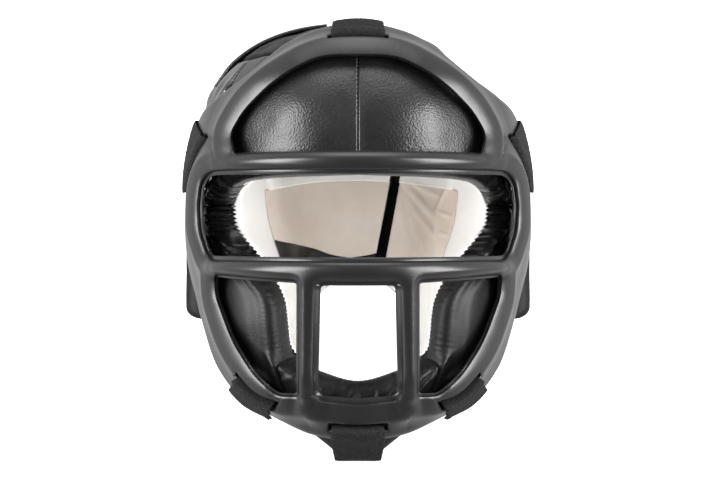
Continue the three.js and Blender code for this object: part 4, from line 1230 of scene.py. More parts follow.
# Folds of the right back lining: both ends, width and height.
RIGHT_FOLDS = (
    ((31, 42), (54, 15), 2.4, 2.6),
    ((30, 36), (53, 2), 2.0, 2.2),
    ((29, 30), (42, -14), 1.8, 1.8),
    ((39, 22), (48, -14), 1.7, 1.8),
    ((36, 41), (57, 30), 1.8, 1.6),
    ((55, 20), (54, -14), 1.0, 1.8),
    ((61, 35), (55, 20), 1.0, 1.6),
    ((56, 19), (66, 15), 1.1, 1.2),
    ((56, 4), (62, 3), 1.6, 0.7),
)


def seen_scale(point):
    """How much larger a point is seen than one on the plane through the middle."""
    return CAMERA["distance"] / (CAMERA["distance"] + point[..., 1])


def seen_height(table, above=0):
    """Heights of an edge that is given as seen from the front, or of a line above it."""
    def height(point):
        scale = seen_scale(point)
        return smooth_table(table, "x", "z", np.abs(point[..., 0]) * scale) / scale + above
    return height


def level(z):
    return lambda point: np.full(point.shape[:-1], float(z))


def back_grid(pad, is_right, low_z, high_z, sunk, dive=0.0):
    """Part of a back flap's lining between two heights, reaching over the side seam."""
    swell = cheek_swell(not is_right)
    forward = BACK_SEAM["right_forward"] if is_right else BACK_SEAM["forward"]
    far_end = 1 - BACK_SEAM["short_of_gap"] / pad.wide
    seam_share = np.linspace(-forward / pad.wide, far_end, int(pad.wide / BACK_STEP))
    s = seam_share if is_right else 1 - seam_share
    from_seam = seam_share * pad.wide
    over = smoothstep(BACK_SEAM["from"], BACK_SEAM["to"], from_seam)
    deep = lerp(PAD_THICKNESS + 2 * LINING_GAP + LINING_THICKNESS, FLAP_THICKNESS + LINING_GAP, over)
    deep = deep - dive * (1 - smoothstep(-forward, BACK_SEAM["from"], from_seam))
    turn = lerp(*(pad.place(s, np.full(len(s), t))[0] for t in BACK_MIDDLE["shares"]), 0.5)
    middle = on_body(turn, np.full(len(s), BACK_MIDDLE["z"]), -deep)
    ends = [pad.place(s, np.full(len(s), t))[1] for t in (0.0, 1.0)]
    nearest_end = BACK_MIDDLE["nearest_end"]
    low, high = (
        np.clip((z_of(middle) - ends[0]) / (ends[1] - ends[0]), nearest_end, 1 - nearest_end)
        for z_of in (low_z, high_z)
    )
    rows = max(int((high - low).max() * pad.tall / BACK_STEP), 3)
    t = lerp(low, high, np.linspace(0, 1, rows)[:, None])
    turn, z = pad.place(np.broadcast_to(s, t.shape), t)
    normal = body_normal(turn, z)
    grids = []
    for extra in (sunk, sunk + LINING_THICKNESS):
        grid = body_point(turn, z) - normal * (deep + extra + swell(z) * (1 - over))[..., None]
        if is_right:
            raised = sum(fold(grid, *each) for each in RIGHT_FOLDS)
            grid = grid - normal * raised[..., None]
        grids.append(grid)
    return grids


def back_lining(pad, is_right):
    """A back flap's beige lining, and the white bands above it and in its lower corner."""
    side = "right" if is_right else "left"
    name = f"back_lining_{side}"
    sunk, dive = BACK_BAND["sunk"], BACK_BAND["dive"]
    top = seen_height(BACK_TOP)
    above = level(BACK_BAND["past_end"])
    below = level(-BACK_BAND["past_end"])
    corner = level(BACK_CORNER_Z)
    foot = corner if is_right else seen_height(LEFT_FOOT)
    for part, low, high, sizes, material, slot in (
        ("cloth", foot, seen_height(BACK_TOP, BACK_BAND["overlap"]), (0,), BEIGE, "beige_lining"),
        ("upper", top, above, (sunk, dive), WHITE, "white_lining"),
        ("corner", below, corner, (sunk, dive), WHITE, "white_lining"),
    ):
        grids = back_grid(pad, is_right, low, high, *sizes)
        piece = keep(wall_object(f"{name}_{part}", *grids, material), slot, name)


def back_binding(pad):
    """The black edge under the left back lining."""
    low = seen_height(LEFT_FOOT, -BACK_BINDING["tall"])
    high = seen_height(LEFT_FOOT, BACK_BINDING["overlap"])
    grids = back_grid(pad, False, low, high, BACK_BINDING["sunk"])
    piece = wall_object("back_lining_left_binding", *grids, GLOSSY_LEATHER)
    keep(piece, "leather", "back_lining_left")


# The face mask.
STATION_STEP = 0.05
BAR_POINTS = 21
UPRIGHT_POINTS = 7
# Stations and shares of the rim's width through which the plate passes.
PLATE_STATION = 0.5
PLATE_SHARES = (0, 0.33, 0.67, 1)
NORMAL_REACH = 0.5
# Finding the place on the plate behind a point seen from the front.
FIND = {"first_radius": 125, "rounds": 40, "steepest": 0.97}
# Corners: the most of a side that an arc takes, the least worth rounding, and points on an arc.
CORNER = {"most": 0.49, "least": 0.05, "points": 12}
OUTLINE_STEP = 0.5
FEWEST_POINTS = 12
SLOT_POINTS = 25
# Rows of points beside the edges of the mask, and room that the even grid between them keeps.
EDGE_ROWS = (-0.3, 0.1, 0.5, 1.1, 2.2, 9.4, 10.2, 11)
LIP_ROW = 0.4
OUTER_ROWS = (0.5, 1.2, 2.2)
SLOT_ROWS = (0.5, 1.2)
GRID_ROW = 0.87
GRID_EDGE_ROOM = 0.68
GRID_ROOM = 0.9
ROW_ROOM = 0.85
WELD = 1e-5
# Fine steps along the mask's edge curves.
OUTER_STEP = 0.02
INNER_STEP = 0.05
# Rounding of the front at the lip, the outer edge and the slots, over distances from each.
LIP_FORM = {"edge": 0.5, "lift": 1.4, "over": 0.7, "before": 0.3, "after": 0.2}
OUTER_FORM_OVER = 3.2
SLOT_FORM = {"dip": 0.8, "over": 1.2}
BAR_BLEND = (2, 14)
BACK_FORM = {"rim": (-0.6, 2), "bar": (0, 6)}
RELAX = {"rounds": 2, "weights": (0.3, -0.15)}


def catmull(points, at):
    """A closed smooth curve through points, spaced by the square roots of their distances."""
    count = len(points)
    whole = np.floor(at).astype(int)
    f = (at - whole)[:, None]
    p0, p1, p2, p3 = (points[(whole + k) % count] for k in (-1, 0, 1, 2))
    pairs = ((p0, p1), (p1, p2), (p2, p3))
    d0, d1, d2 = (np.sqrt(np.linalg.norm(b - a, axis=1))[:, None] for a, b in pairs)
    t1 = ((p1 - p0) / d0 - (p2 - p0) / (d0 + d1) + (p2 - p1) / d1) * d1
    t2 = ((p2 - p1) / d1 - (p3 - p1) / (d1 + d2) + (p3 - p2) / d2) * d1
    c2 = -3 * p1 + 3 * p2 - 2 * t1 - t2
    c3 = 2 * p1 - 2 * p2 + t1 + t2
    return p1 + t1 * f + c2 * f**2 + c3 * f**3


def mask_curve(edge):
    right = stack(MASK[f"{edge}_x"], -np.array(MASK[f"{edge}_forward"], float), MASK[f"{edge}_z"])
    return np.concatenate([right, mirror_points(right[1:-1][::-1])])


INNER_CURVE = mask_curve("inner")
OUTER_CURVE = mask_curve("outer")


def mask_middle(station):
    return (catmull(INNER_CURVE, station) + catmull(OUTER_CURVE, station)) / 2


def mask_frame(station):
    """The rim at stations round the mask: its inner edge, its width, and its three directions."""
    station = np.atleast_1d(np.asarray(station, float))
    inner = catmull(INNER_CURVE, station)
    across = catmull(OUTER_CURVE, station) - inner
    width = np.linalg.norm(across, axis=1)
    across = unit(across)
    along = unit(mask_middle(station + STATION_STEP) - mask_middle(station - STATION_STEP))
    normal = unit(np.cross(along, across))
    normal *= np.sign((normal * mask_middle(station)).sum(axis=1))[:, None]
    return {"inner": inner, "across": across, "width": width, "along": along, "normal": normal}


def rim_lift(inset, width):
    share = inset / width
    return 4 * RIM_BULGE * width * width * share * (1 - share)


def rim_front(inset, width):
    return smooth_table(RIM_PROFILE, "inset", "lift", inset) + rim_lift(inset, width)


def on_mask(at, inset, lift):
    inset = np.asarray(inset)
    lift = np.asarray(lift)
    return at["inner"] + at["across"] * inset[..., None] + at["normal"] * lift[..., None]


def loft_faces(sections, around):
    """Faces between rings of points, closed at both ends."""
    faces = []
    for j in range(sections - 1):
        k = j + 1
        for i in range(around):
            n = (i + 1) % around
            faces.append((j * around + i, j * around + n, k * around + n, k * around + i))
    faces.append(tuple(range(around))[::-1])
    faces.append(tuple((sections - 1) * around + i for i in range(around)))
    return faces


def bar_line(bar):
    end = math.asin(bar["reach"] / bar["bow_half"])
    angles = np.linspace(-end, end, BAR_POINTS)
    return stack(bar["bow_half"] * np.sin(angles), -bar["bow"] * np.cos(angles), bar["z"])


def upright_line(side):
    share = np.linspace(0, 1, UPRIGHT_POINTS)
    forward = lerp(UPRIGHT["top_forward"], UPRIGHT["bottom_forward"], share)
    return stack(side * UPRIGHT["x"], -forward, lerp(UPRIGHT["top_z"], UPRIGHT["bottom_z"], share))


def flat_place(points):
    """Places on the plate rolled out flat: the way round the upright axis and the height."""
    turn = np.degrees(np.arctan2(points[..., 0], -points[..., 1]))
    return np.stack([turn * ARC, points[..., 2]], axis=-1)


def thin_plate(a, b):
    square = ((a[:, None] - b[None]) ** 2).sum(axis=-1)
    return 0.5 * square * np.log(square + 1e-9)


class Plate:
    """The mask's middle surface, as a distance from the upright axis, smooth through its rim and bars."""

    def __init__(self):
        at = mask_frame(np.arange(0, 2 * MASK_HALF, PLATE_STATION))
        lines = []
        for share in PLATE_SHARES:
            inset = share * at["width"]
            lines.append(on_mask(at, inset, rim_lift(inset, at["width"])))
        lines += [bar_line(BROW_BAR), bar_line(EYE_BAR), upright_line(1), upright_line(-1)]
        points = np.concatenate(lines)
        self.places = flat_place(points)
        count = len(points)
        system = np.zeros((count + 3, count + 3))
        system[:count, :count] = thin_plate(self.places, self.places) + np.eye(count) * PLATE_EASE
        system[:count, count] = system[count, :count] = 1
        system[:count, count + 1:] = self.places
        system[count + 1:, :count] = self.places.T
        radius = np.hypot(points[:, 0], points[:, 1])
        self.weights = np.linalg.solve(system, np.concatenate([radius, np.zeros(3)]))

    def radius(self, flat):
        count = len(self.places)
        bent, level_part, sloped = np.split(self.weights, [count, count + 1])
        return thin_plate(flat, self.places) @ bent + level_part + flat @ sloped

    def point(self, flat):
        radius = self.radius(flat)
        angle = np.radians(flat[:, 0] / ARC)
        return stack(radius * np.sin(angle), -radius * np.cos(angle), flat[:, 1])

    def normal(self, flat):
        sideways = self.point(flat + [NORMAL_REACH, 0]) - self.point(flat - [NORMAL_REACH, 0])
        upwards = self.point(flat + [0, NORMAL_REACH]) - self.point(flat - [0, NORMAL_REACH])
        return unit(np.cross(sideways, upwards))

    def seen_from_front(self, x, z):
        """The flat places of points given by their width and height."""
        turn = np.degrees(np.arcsin(x / FIND["first_radius"]))
        steepest = FIND["steepest"]
        for _ in range(FIND["rounds"]):
            radius = self.radius(np.stack([turn * ARC, z], axis=-1))
            turn = (turn + np.degrees(np.arcsin(np.clip(x / radius, -steepest, steepest)))) / 2
        return np.stack([turn * ARC, z], axis=-1)


def rounded_corners(points, radii):
    """A closed outline with each corner replaced by an arc."""
    made = []
    count = len(points)
    for i in range(count):
        corner = points[i]
        to_before = points[i - 1] - corner
        to_after = points[(i + 1) % count] - corner
        before = unit(to_before)
        after = unit(to_after)
        half = math.acos(np.clip(before @ after, -1, 1)) / 2
        room = CORNER["most"] * min(np.linalg.norm(to_before), np.linalg.norm(to_after))
        back = min(radii[i] / max(math.tan(half), 1e-6), room)
        if back < CORNER["least"]:
            made.append(corner[None])
            continue
        radius = back * math.tan(half)
        centre = corner + unit(before + after) * math.hypot(radius, back)
        start = corner + before * back - centre
        end = corner + after * back - centre
        share = np.linspace(0, 1, CORNER["points"])[:, None]
        sweep = math.pi - 2 * half
        arc = (np.sin((1 - share) * sweep) * start + np.sin(share * sweep) * end) / math.sin(sweep)
        made.append(centre + arc)
    return np.concatenate(made)


def even_loop(points, step):
    """A closed line resampled at even steps."""
    closed = np.concatenate([points, points[:1]])
    lengths = way_along(closed)
    at = np.linspace(0, lengths[-1], max(int(lengths[-1] / step), FEWEST_POINTS), endpoint=False)
    return np.stack([np.interp(at, lengths, closed[:, k]) for k in (0, 1)], axis=-1)


def opening_loop(plate, opening, is_whole, mirrored=False):
    points = stack(opening["x"], opening["z"])
    radii = list(opening["round"])
    if not is_whole:
        points = np.concatenate([points, (points * [-1, 1])[1:-1][::-1]])
        radii = radii + radii[1:-1][::-1]
    outline = even_loop(rounded_corners(points, radii), OUTLINE_STEP)
    if mirrored:
        outline = outline * [-1, 1]
    return even_loop(plate.seen_from_front(outline[:, 0], outline[:, 1]), LOOP_STEP)


def is_inside(places, loop):
    """Whether each place is inside a closed line."""
    inside = np.zeros(len(places), bool)
    x, z = places.T
    for (x0, z0), (x1, z1) in zip(loop, np.roll(loop, -1, axis=0)):
        if z0 == z1:
            continue
        crosses = (z0 > z) != (z1 > z)
        inside ^= crosses & (x < x0 + (x1 - x0) * (z - z0) / (z1 - z0))
    return inside


def is_on_plate(places, loops):
    """Whether each place is inside the first line and outside all the others."""
    inside = is_inside(places, loops[0])
    for loop in loops[1:]:
        inside &= ~is_inside(places, loop)
    return inside


def nearest(points, others):
    """The distance from each point to the nearest of the others, and which one that is."""
    tree = KDTree(len(others))
    for i, other in enumerate(others):
        tree.insert((*other, 0)[:3], i)
    tree.balance()
    found = [tree.find((*point, 0)[:3]) for point in points]
    return np.array([hit[2] for hit in found]), np.array([hit[1] for hit in found])


def beside_loop(loop, offset, outwards):
    """Places beside a closed line, outside or inside it."""
    ahead = np.roll(loop, -1, axis=0) - np.roll(loop, 1, axis=0)
    side = unit(np.stack([ahead[:, 1], -ahead[:, 0]], axis=-1))
    x, z = loop.T
    area = np.sum(x * np.roll(z, -1) - np.roll(x, -1) * z)
    return loop + side * offset * np.sign(area) * (1 if outwards else -1)


def beside_station(strap, distance):
    step = 0.1
    ends = [mask_frame(strap["station"] + way) for way in (-step, step)]
    spots = [on_mask(at, strap["share"] * at["width"], np.zeros(1)) for at in ends]
    return strap["station"] + 2 * step * distance / np.linalg.norm(spots[1] - spots[0])


def slot_loop(strap, mirrored):
    distance = np.linspace(-0.5, 0.5, SLOT_POINTS) * (strap["wide"] + 2 * SLOT["end_room"])
    at = mask_frame(beside_station(strap, distance))
    middle = strap["share"] * at["width"]
    sides = [on_mask(at, middle + way * SLOT["across"] / 2, np.zeros(len(distance))) for way in (-1, 1)]
    outline = np.concatenate([sides[0], sides[1][::-1]])
    return even_loop(flat_place(mirror_points(outline) if mirrored else outline), LOOP_STEP)


def relax(mesh, rounds, weights):
    """Smooths a mesh by moving each point towards its neighbours and partly back again."""
    points = np.zeros(len(mesh.vertices) * 3)
    mesh.vertices.foreach_get("co", points)
    points = points.reshape(-1, 3)
    edges = np.zeros(len(mesh.edges) * 2, int)
    mesh.edges.foreach_get("vertices", edges)
    a, b = edges.reshape(-1, 2).T
    size = len(points)
    count = np.bincount(np.concatenate([a, b]), minlength=size)[:, None]
    for round_number in range(rounds):
        total = np.zeros(points.shape)
        for axis in range(3):
            total[:, axis] = np.bincount(a, points[b, axis], size) + np.bincount(b, points[a, axis], size)
        points += (total / count - points) * weights[round_number % len(weights)]
    mesh.vertices.foreach_set("co", points.ravel())
    mesh.update()


def mask_loops(plate):
    """Closed lines on the plate: the outer edge, the openings with their lips, and the slots."""
    outer = even_loop(flat_place(catmull(OUTER_CURVE, np.arange(0, 2 * MASK_HALF, OUTER_STEP))), LOOP_STEP)
    openings = []
    for opening, is_whole, mirrored in (
        (FOREHEAD_OPENING, False, False),
        (EYE_OPENING, False, False),
        (MOUTH_OPENING, False, False),
        (SIDE_OPENING, True, False),
        (SIDE_OPENING, True, True),
    ):
        openings.append((opening_loop(plate, opening, is_whole, mirrored), opening["lip"]))
    slots = []
    for strap in (TOP_STRAP, TEMPLE_STRAP, JAW_STRAP, CHIN_STRAP):
        slots.append(slot_loop(strap, False))
        if strap["station"] not in (0, MASK_HALF):
            slots.append(slot_loop(strap, True))
    return outer, openings, slots


def plate_places(outer, openings, slots):
    """Places to build the plate from: its edge lines, rows beside them, and an even grid between."""
    loops = [outer, *(loop for loop, lip in openings), *slots]
    edge_places = np.concatenate(loops)
    rows = [(outer, offset, False) for offset in OUTER_ROWS]
    for loop, lip in openings:
        rows += [(loop, offset, True) for offset in (LIP_ROW * lip, *(lip + past for past in EDGE_ROWS))]
    for loop in slots:
        rows += [(loop, offset, True) for offset in SLOT_ROWS]
    kept = [edge_places]

    def with_room(places, room):
        """The places on the plate that are further than some room from its edges."""
        places = places[is_on_plate(places, loops)]
        return places[nearest(places, edge_places)[0] > room]

    for loop, offset, outwards in rows:
        kept.append(with_room(beside_loop(loop, offset, outwards), ROW_ROOM * offset))
    low = outer.min(axis=0)
    high = outer.max(axis=0)
    columns = np.arange(low[0], high[0], PLATE_GRID)
    x, z = np.meshgrid(columns, np.arange(low[1], high[1], PLATE_GRID * GRID_ROW))
    x[1::2] += PLATE_GRID / 2
    grid = with_room(np.stack([x.ravel(), z.ravel()], axis=-1), GRID_EDGE_ROOM)
    kept.append(grid[nearest(grid, np.concatenate(kept))[0] > GRID_ROOM])
    return loops, np.concatenate(kept)


def plate_triangles(loops, places):
    """Triangles between the places, leaving out the openings and slots."""
    edges = []
    start = 0
    for loop in loops:
        edges += [(start + i, start + (i + 1) % len(loop)) for i in range(len(loop))]
        start += len(loop)
    made = delaunay_2d_cdt([Vector(place) for place in places.tolist()], edges, [], 0, WELD)
    corners = np.array([tuple(vert) for vert in made[0]])
    triangles = np.array(made[2])
    return corners, triangles[is_on_plate(corners[triangles].mean(axis=1), loops)]


def shell_of(triangles, count):
    """Faces of a closed shell: the front, the back and a wall along every open edge."""
    edges = np.concatenate([triangles[:, [0, 1]], triangles[:, [1, 2]], triangles[:, [2, 0]]])
    keys = {(int(a), int(b)) for a, b in edges}
    walls = [(b, a, a + count, b + count) for a, b in keys if (b, a) not in keys]
    front = [tuple(int(v) for v in triangle) for triangle in triangles]
    return front + [(c + count, b + count, a + count) for a, b, c in front] + walls


def face_mask():
    plate = Plate()
    outer, openings, slots = mask_loops(plate)
    flat, triangles = plate_triangles(*plate_places(outer, openings, slots))
    surface = plate.point(flat)
    normal = plate.normal(flat)
    loops = [plate.point(loop) for loop, lip in openings]
    lips = np.concatenate([np.full(len(loop), lip) for loop, lip in openings])
    inset, which = nearest(surface, np.concatenate(loops))
    lip = lips[which]
    edge = nearest(surface, plate.point(outer))[0]
    slot = nearest(surface, np.concatenate([plate.point(loop) for loop in slots]))[0]
    inner_line = flat_place(catmull(INNER_CURVE, np.arange(0, 2 * MASK_HALF, INNER_STEP)))
    bar = smoothstep(*BAR_BLEND, nearest(flat, inner_line)[0]) * is_inside(flat, inner_line)
    past_lip = np.maximum(inset - lip, 0)
    rim_dome = smooth_table(RIM_PROFILE, "inset", "lift", past_lip)
    dome = lerp(rim_dome, smooth_table(BAR_PROFILE, "inset", "lift", past_lip), bar)
    lip_lift = lerp(LIP_FORM["edge"], LIP_FORM["lift"], smoothstep(0, LIP_FORM["over"], inset))
    front = lerp(lip_lift, dome, smoothstep(lip - LIP_FORM["before"], lip + LIP_FORM["after"], inset))
    front = lerp(OUTER_EDGE_LIFT, front, np.sqrt(smoothstep(0, OUTER_FORM_OVER, edge)))
    front -= SLOT_FORM["dip"] * (1 - smoothstep(0, SLOT_FORM["over"], slot))
    back = RIM_BACK_LIFT * smoothstep(*BACK_FORM["rim"], np.minimum(inset, edge))
    back -= BAR_BACK * bar * smoothstep(*BACK_FORM["bar"], inset)
    ahead = np.array([0.0, -1.0, 0.0])
    facing = unit(lerp(ahead, normal, smoothstep(0, FRONT_EASE, inset)[:, None]))
    points = np.concatenate([surface + facing * front[:, None], surface + normal * back[:, None]])
    mask = new_object("face_mask_shell", points, shell_of(triangles, len(flat)), PLASTIC)
    relax(mask.data, **RELAX)
    mask.data.set_sharp_from_angle(angle=math.radians(MASK_EDGE_ANGLE))
    return keep(mask, "mask_plastic", "face_mask")


# Straps.
STRAP_COLUMNS = np.linspace(-0.5, 0.5, 45)
# Where the body faces up more than this, spots on it are found from above.
FLAT_CROWN = 0.7
WEBBING_THICKNESS = 1.7
WEAVE_HEIGHT = 0.14
# Ribs across and along the webbing, their slant, and the thin edges of a band.
WEAVE = {"across": 1.9, "along": 2.6, "slant": 7}
BAND_EDGE = {"thinner": 0.55, "power": 14}
WEBBING_STEP = 0.7
BAND_STEP = 1.0
BAND_ROWS = 9
# Shares of the way from the mask's rim to the ends of a strap.
INNER_SHARES = (1.0, 0.5)
OUTER_SHARES = (0.5, 0.75, 1.0)
BACKWARD = np.array([0.0, 1.0, 0.0])
UPWARD = np.array([0.0, 0.0, 1.0])
BINDING_ROWS = 140
BINDING_POINTS = 24
BINDING_PUCKER = {"height": 0.1, "pitch": 4.6, "uneven": 2, "patch": 9, "seed": 51}


def smooth_rows(rows, step):
    """Rows of points resampled along a smooth curve, about one step apart."""
    count = len(rows)
    lengths = np.linalg.norm(np.diff(rows, axis=0), axis=2).mean(axis=1)
    made = []
    for i in range(count - 1):
        p0, p1, p2, p3 = (rows[min(max(i + k, 0), count - 1)] for k in (-1, 0, 1, 2))
        square = 2 * p0 - 5 * p1 + 4 * p2 - p3
        cube = 3 * p1 - p0 - 3 * p2 + p3
        for f in np.linspace(0, 1, max(int(lengths[i] / step), 1), endpoint=False):
            made.append(0.5 * (2 * p1 + (p2 - p0) * f + square * f**2 + cube * f**3))
    made.append(rows[-1])
    return np.array(made)


def band_object(name, rows, thickness, material, weave, is_left=False, floor=None):
    """A strap of even thickness over rows of middle points, with the ribs of its weave."""
    ahead = np.gradient(rows, axis=0)
    beside = np.gradient(rows, axis=1)
    normal = unit(np.cross(beside, ahead))
    along = np.cumsum(np.linalg.norm(ahead, axis=2).mean(axis=1))[:, None]
    columns = np.linspace(-0.5, 0.5, rows.shape[1])[None, :]
    across = columns * np.linalg.norm(beside, axis=2).sum(axis=1)[:, None]
    slanted = along / WEAVE["along"] + across / WEAVE["slant"]
    ribs = weave * np.sin(2 * math.pi * across / WEAVE["across"]) * np.sin(2 * math.pi * slanted)
    edge = 1 - BAND_EDGE["thinner"] * np.abs(2 * columns) ** BAND_EDGE["power"]
    half = (thickness / 2 * edge)[..., None]
    outer = rows + normal * (half + ribs[..., None])
    inner = rows - normal * (half + ribs[..., None])
    return wall_object(name, outer, inner, material, is_left, floor, sags=False)


def slot_rows(strap):
    """Rows of a strap from behind the mask, through its slot and over the rim."""
    clear = STRAP_RIM_GAP + STRAP_THICKNESS / 2
    at = mask_frame(beside_station(strap, STRAP_COLUMNS * strap["wide"]))
    width = at["width"]
    slot = strap["share"] * width
    bend = SLOT_BEND

    def over(inset):
        return rim_front(inset, width) + clear

    def under(inset):
        return RIM_BACK_LIFT + rim_lift(inset, width) - clear

    far = slot + bend["far"]
    near = slot + bend["near"]
    on_rim = lerp(slot, width, bend["on_rim"])
    on_edge = width - bend["on_edge"]
    spots = [
        (far, under(far)),
        (near, under(slot) - bend["near_off"]),
        (slot, under(slot) + bend["in_slot"]),
        (slot, over(slot) - bend["in_slot"]),
        (near, over(slot) + bend["near_off"]),
        (far, over(far)),
        (on_rim, over(on_rim)),
        (on_edge, over(on_edge)),
        (width + bend["past_edge"], np.full(width.shape, clear)),
    ]
    return [on_mask(at, inset, lift) for inset, lift in spots]


def body_row(spot, lift, across, wide):
    """A row of a strap that lies on the body at a spot."""
    turn, z = (np.asarray(value, float) for value in spot)
    normal = body_normal(turn, z)
    flat = unit(across - normal * (across @ normal))
    beside = body_point(turn, z) + flat * (STRAP_COLUMNS * wide)[:, None]
    spot_turn, spot_z = spot_on_body(beside, normal[2] > FLAT_CROWN)
    return on_body(spot_turn, spot_z, np.full(len(STRAP_COLUMNS), lift))


def webbing(node, name, rows, is_left=False, floor=None):
    """A band of webbing over rows, as the look of a node."""
    rows = smooth_rows(np.array(rows), WEBBING_STEP)
    piece = band_object(name, rows, WEBBING_THICKNESS, WEBBING, WEAVE_HEIGHT, is_left, floor)
    keep(piece, "webbing", node)


def mask_strap(name, strap, is_left=False):
    """A strap loop that holds the mask's rim to the body."""
    along = mask_frame(strap["station"])["along"][0]
    lift = STRAP_GAP + STRAP_THICKNESS / 2
    rim = slot_rows(strap)
    from_above = bool(body_normal(*strap["outer"])[2] > FLAT_CROWN)

    def towards(row, end, shares):
        turn, z = spot_on_body(row.mean(axis=0), from_above)
        spots = [(lerp(turn, end[0], share), lerp(z, end[1], share)) for share in shares]
        return [body_row(spot, lift, along, strap["wide"]) for spot in spots]

    inner = towards(rim[0], strap["inner"], INNER_SHARES)
    outer = towards(rim[-1], strap["outer"], OUTER_SHARES)
    webbing(name, name, [*inner, *rim, *outer], is_left)


def chin_strap():
    """The strap through the chin plate, which turns under the body and lies flat on the ground."""
    strap = CHIN_STRAP
    lift = STRAP_GAP + STRAP_THICKNESS / 2
    inner = body_row(strap["inner"], lift, mask_frame(strap["station"])["along"][0], strap["wide"])
    side = np.sign(inner[1, 0] - inner[0, 0])
    flat_rise = (STRAP_THICKNESS / 2 - STRAP_FLATTENED) / math.cos(LEAN)

    def row(forward, rise):
        return stack(side * STRAP_COLUMNS * strap["wide"], -forward, surface_z(forward) + rise)

    flat = [row(forward, flat_rise) for forward in CHIN_STRAP_FLAT]
    turning = row(CHIN_STRAP_TURN["forward"], CHIN_STRAP_TURN["rise"])
    webbing("chin_strap", "chin_strap_webbing", [inner, *slot_rows(strap), turning, *flat], floor=0)


def body_band(name, strap, spots, across, material, weave):
    """A band that lies on the body along a row of spots."""
    lift = STRAP_GAP + strap["thick"] / 2
    rows = smooth_rows(np.array([body_row(spot, lift, across, strap["wide"]) for spot in spots]), BAND_STEP)
    return band_object(name, rows, strap["thick"], material, weave)


def crown_strap():
    strap = CROWN_STRAP
    shares = np.linspace(strap["from_share"], float(crown_share(strap["to_z"])), BAND_ROWS)
    spots = [(strap["turn"], crown_height(share)) for share in shares]
    keep(body_band("crown_band", strap, spots, BACKWARD, LEATHER, 0.0), "leather", "crown_strap")


def back_strap():
    strap = BACK_STRAP
    spots = [(turn, strap["z"]) for turn in np.linspace(strap["from_turn"], strap["to_turn"], BAND_ROWS)]
    keep(body_band("back_band", strap, spots, UPWARD, WEBBING, WEAVE_HEIGHT), "webbing", "back_strap")


def rim_binding(is_left):
    """The puckered binding under a cheek pad."""
    turn = np.linspace(RIM_BINDING["from_turn"], RIM_BINDING["to_turn"], BINDING_ROWS)
    z = cheek_rim_z(turn)
    out = body_normal(turn, z)
    along = body_point(turn + 1, cheek_rim_z(turn + 1)) - body_point(turn - 1, cheek_rim_z(turn - 1))
    down = unit(np.cross(along, out))
    lift = np.full(turn.shape, -PAD_THICKNESS / 2)
    centre = on_body(turn, z, lift) + down * (RIM_BINDING["gap"] + RIM_BINDING["tall"] / 2)
    length = np.cumsum(np.linalg.norm(np.gradient(centre, axis=0), axis=1))
    angles = np.linspace(0, 2 * math.pi, BINDING_POINTS, endpoint=False)
    form = BINDING_PUCKER
    uneven_by = form["uneven"] * noise(length / form["patch"], length * 0, form["seed"])
    pucker = 1 + form["height"] * np.sin(2 * math.pi * length / form["pitch"] + uneven_by)[:, None]
    p = RIM_BINDING["wide"] / 2 * np.cos(angles)[None, :] * pucker
    q = RIM_BINDING["tall"] / 2 * np.sin(angles)[None, :] * pucker
    sections = centre[:, None] + out[:, None] * p[..., None] + down[:, None] * q[..., None]
    if is_left:
        sections = mirror_points(sections)
    name = sided("rim_binding", is_left)
    piece = new_object(name, sections.reshape(-1, 3), loft_faces(*sections.shape[:2]), GLOSSY_LEATHER)
    keep(piece, "leather", name)


# Stage.
# Soft boxes: name, azimuth and elevation in degrees, distance, width, height in metres, power, and shine.
LIGHTS = (
    ("left_box", -58, 8, 1.2, 0.6, 0.95, 29, True),
    ("right_box", 58, 8, 1.2, 0.6, 0.95, 29, True),
    ("top_box", 0, 75, 1.3, 0.8, 0.8, 6, True),
    ("front_fill", 0, 12, 1.5, 1.0, 1.0, 9, False),
)
FLOOR = {"half": 30.0, "grey": 0.9, "rough": 0.9, "glow": 0.75}
WORLD_SHADE = {"From Min": -0.9, "From Max": 0.25, "To Min": 0.1, "To Max": 1.05}


def camera():
    made = bpy.data.cameras.new("camera")
    focal_pixels = CAMERA["distance"] / CAMERA["mm_per_pixel"]
    made.sensor_width = CAMERA["sensor"]
    made.lens = focal_pixels / IMAGE["wide"] * CAMERA["sensor"]
    made.shift_x = (IMAGE["wide"] / 2 - IMAGE["middle_x"]) / IMAGE["wide"]
    piece = bpy.data.objects.new("camera", made)
    piece.location = to_rest(np.array([0.0, -CAMERA["distance"], 0.0]))
    piece.rotation_euler = (math.pi / 2 - LEAN, 0, 0)
    bpy.context.scene.collection.objects.link(piece)
    bpy.context.scene.camera = piece


def area_light(name, azimuth, elevation, distance, wide, tall, power, shines):
    """A soft box that faces the middle of the headgear. Azimuth 0 is at the camera."""
    data = bpy.data.lights.new(name, "AREA")
    data.shape = "RECTANGLE"
    data.size = wide
    data.size_y = tall
    data.energy = power
    piece = bpy.data.objects.new(name, data)
    a = math.radians(azimuth)
    e = math.radians(elevation)
    way = np.array([math.sin(a) * math.cos(e), -math.cos(a) * math.cos(e), math.sin(e)])
    target = to_rest(np.zeros(3))
    piece.location = to_rest(way * distance / MM)
    piece.visible_camera = False
    piece.visible_glossy = shines
    piece.rotation_euler = Vector(target - np.array(piece.location)).to_track_quat("-Z", "Y").to_euler()
    bpy.context.scene.collection.objects.link(piece)


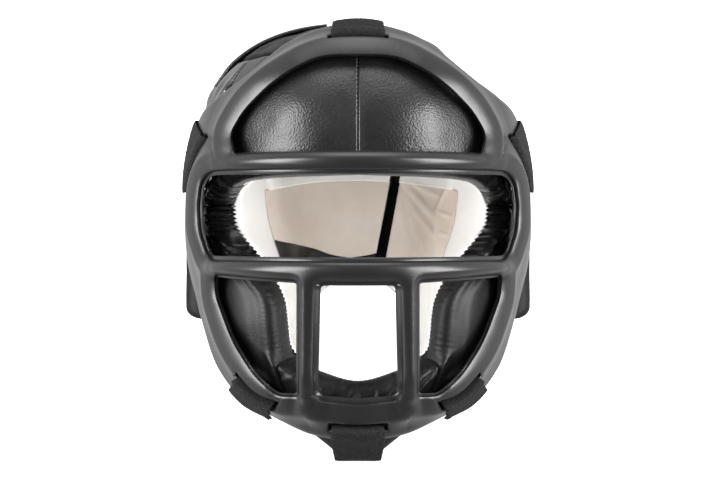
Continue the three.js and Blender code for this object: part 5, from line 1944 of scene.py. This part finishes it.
def floor():
    nodes = Nodes("pale_floor", (FLOOR["grey"],) * 3, FLOOR["rough"])
    nodes.shader.inputs["Emission Color"].default_value = (1, 1, 1, 1)
    nodes.shader.inputs["Emission Strength"].default_value = FLOOR["glow"]
    mesh = bpy.data.meshes.new("floor")
    half = FLOOR["half"]
    corners = [(-half, -half, 0), (half, -half, 0), (half, half, 0), (-half, half, 0)]
    mesh.from_pydata(corners, [], [(0, 1, 2, 3)])
    mesh.materials.append(nodes.material)
    piece = bpy.data.objects.new("floor", mesh)
    bpy.context.scene.collection.objects.link(piece)
    piece.visible_glossy = False


def world():
    """White all round, darker towards the camera."""
    made = bpy.data.worlds.new("studio")
    made.use_nodes = True
    tree = made.node_tree
    way = tree.nodes.new("ShaderNodeTexCoord").outputs["Generated"]
    parts = tree.nodes.new("ShaderNodeSeparateXYZ")
    shade = tree.nodes.new("ShaderNodeMapRange")
    tree.links.new(way, parts.inputs["Vector"])
    tree.links.new(parts.outputs["Y"], shade.inputs["Value"])
    for key, value in WORLD_SHADE.items():
        shade.inputs[key].default_value = value
    background = tree.nodes["Background"]
    background.inputs["Color"].default_value = (1, 1, 1, 1)
    tree.links.new(shade.outputs["Result"], background.inputs["Strength"])
    bpy.context.scene.world = made


camera()
floor()
world()
for light in LIGHTS:
    area_light(*light)
bpy.context.scene.view_settings.view_transform = "Standard"

forehead_shape = forehead()
cheek_shapes = [cheek(False), cheek(True)]
temple_shapes = [temple(False), temple(True)]
chin_shape = chin()
crown()
ear(False)
ear(True)
right_flap = flap(True)
left_flap = flap(False)

lining("forehead_lining", forehead_shape, LOW)
lining("chin_lining", chin_shape, HIGH)
for is_left, side in ((False, "right"), (True, "left")):
    temple_form = (2 * LINING_GAP, TEETH_START["temple"], TEMPLE_ROLL)
    lining(f"temple_lining_{side}", temple_shapes[is_left], LOW, corner_open, is_left, *temple_form)
    cheek_form = (LINING_GAP, TEETH_START[side])
    lining(f"cheek_lining_{side}", cheek_shapes[is_left], LEFT, cheek_open, is_left, *cheek_form)
back_lining(right_flap, True)
back_lining(left_flap, False)
back_binding(left_flap)

face_mask()
mask_strap("top_strap", TOP_STRAP)
for name, strap in (("temple_strap", TEMPLE_STRAP), ("jaw_strap", JAW_STRAP)):
    for is_left in (False, True):
        mask_strap(sided(name, is_left), strap, is_left)
chin_strap()
crown_strap()
back_strap()
rim_binding(False)
rim_binding(True)
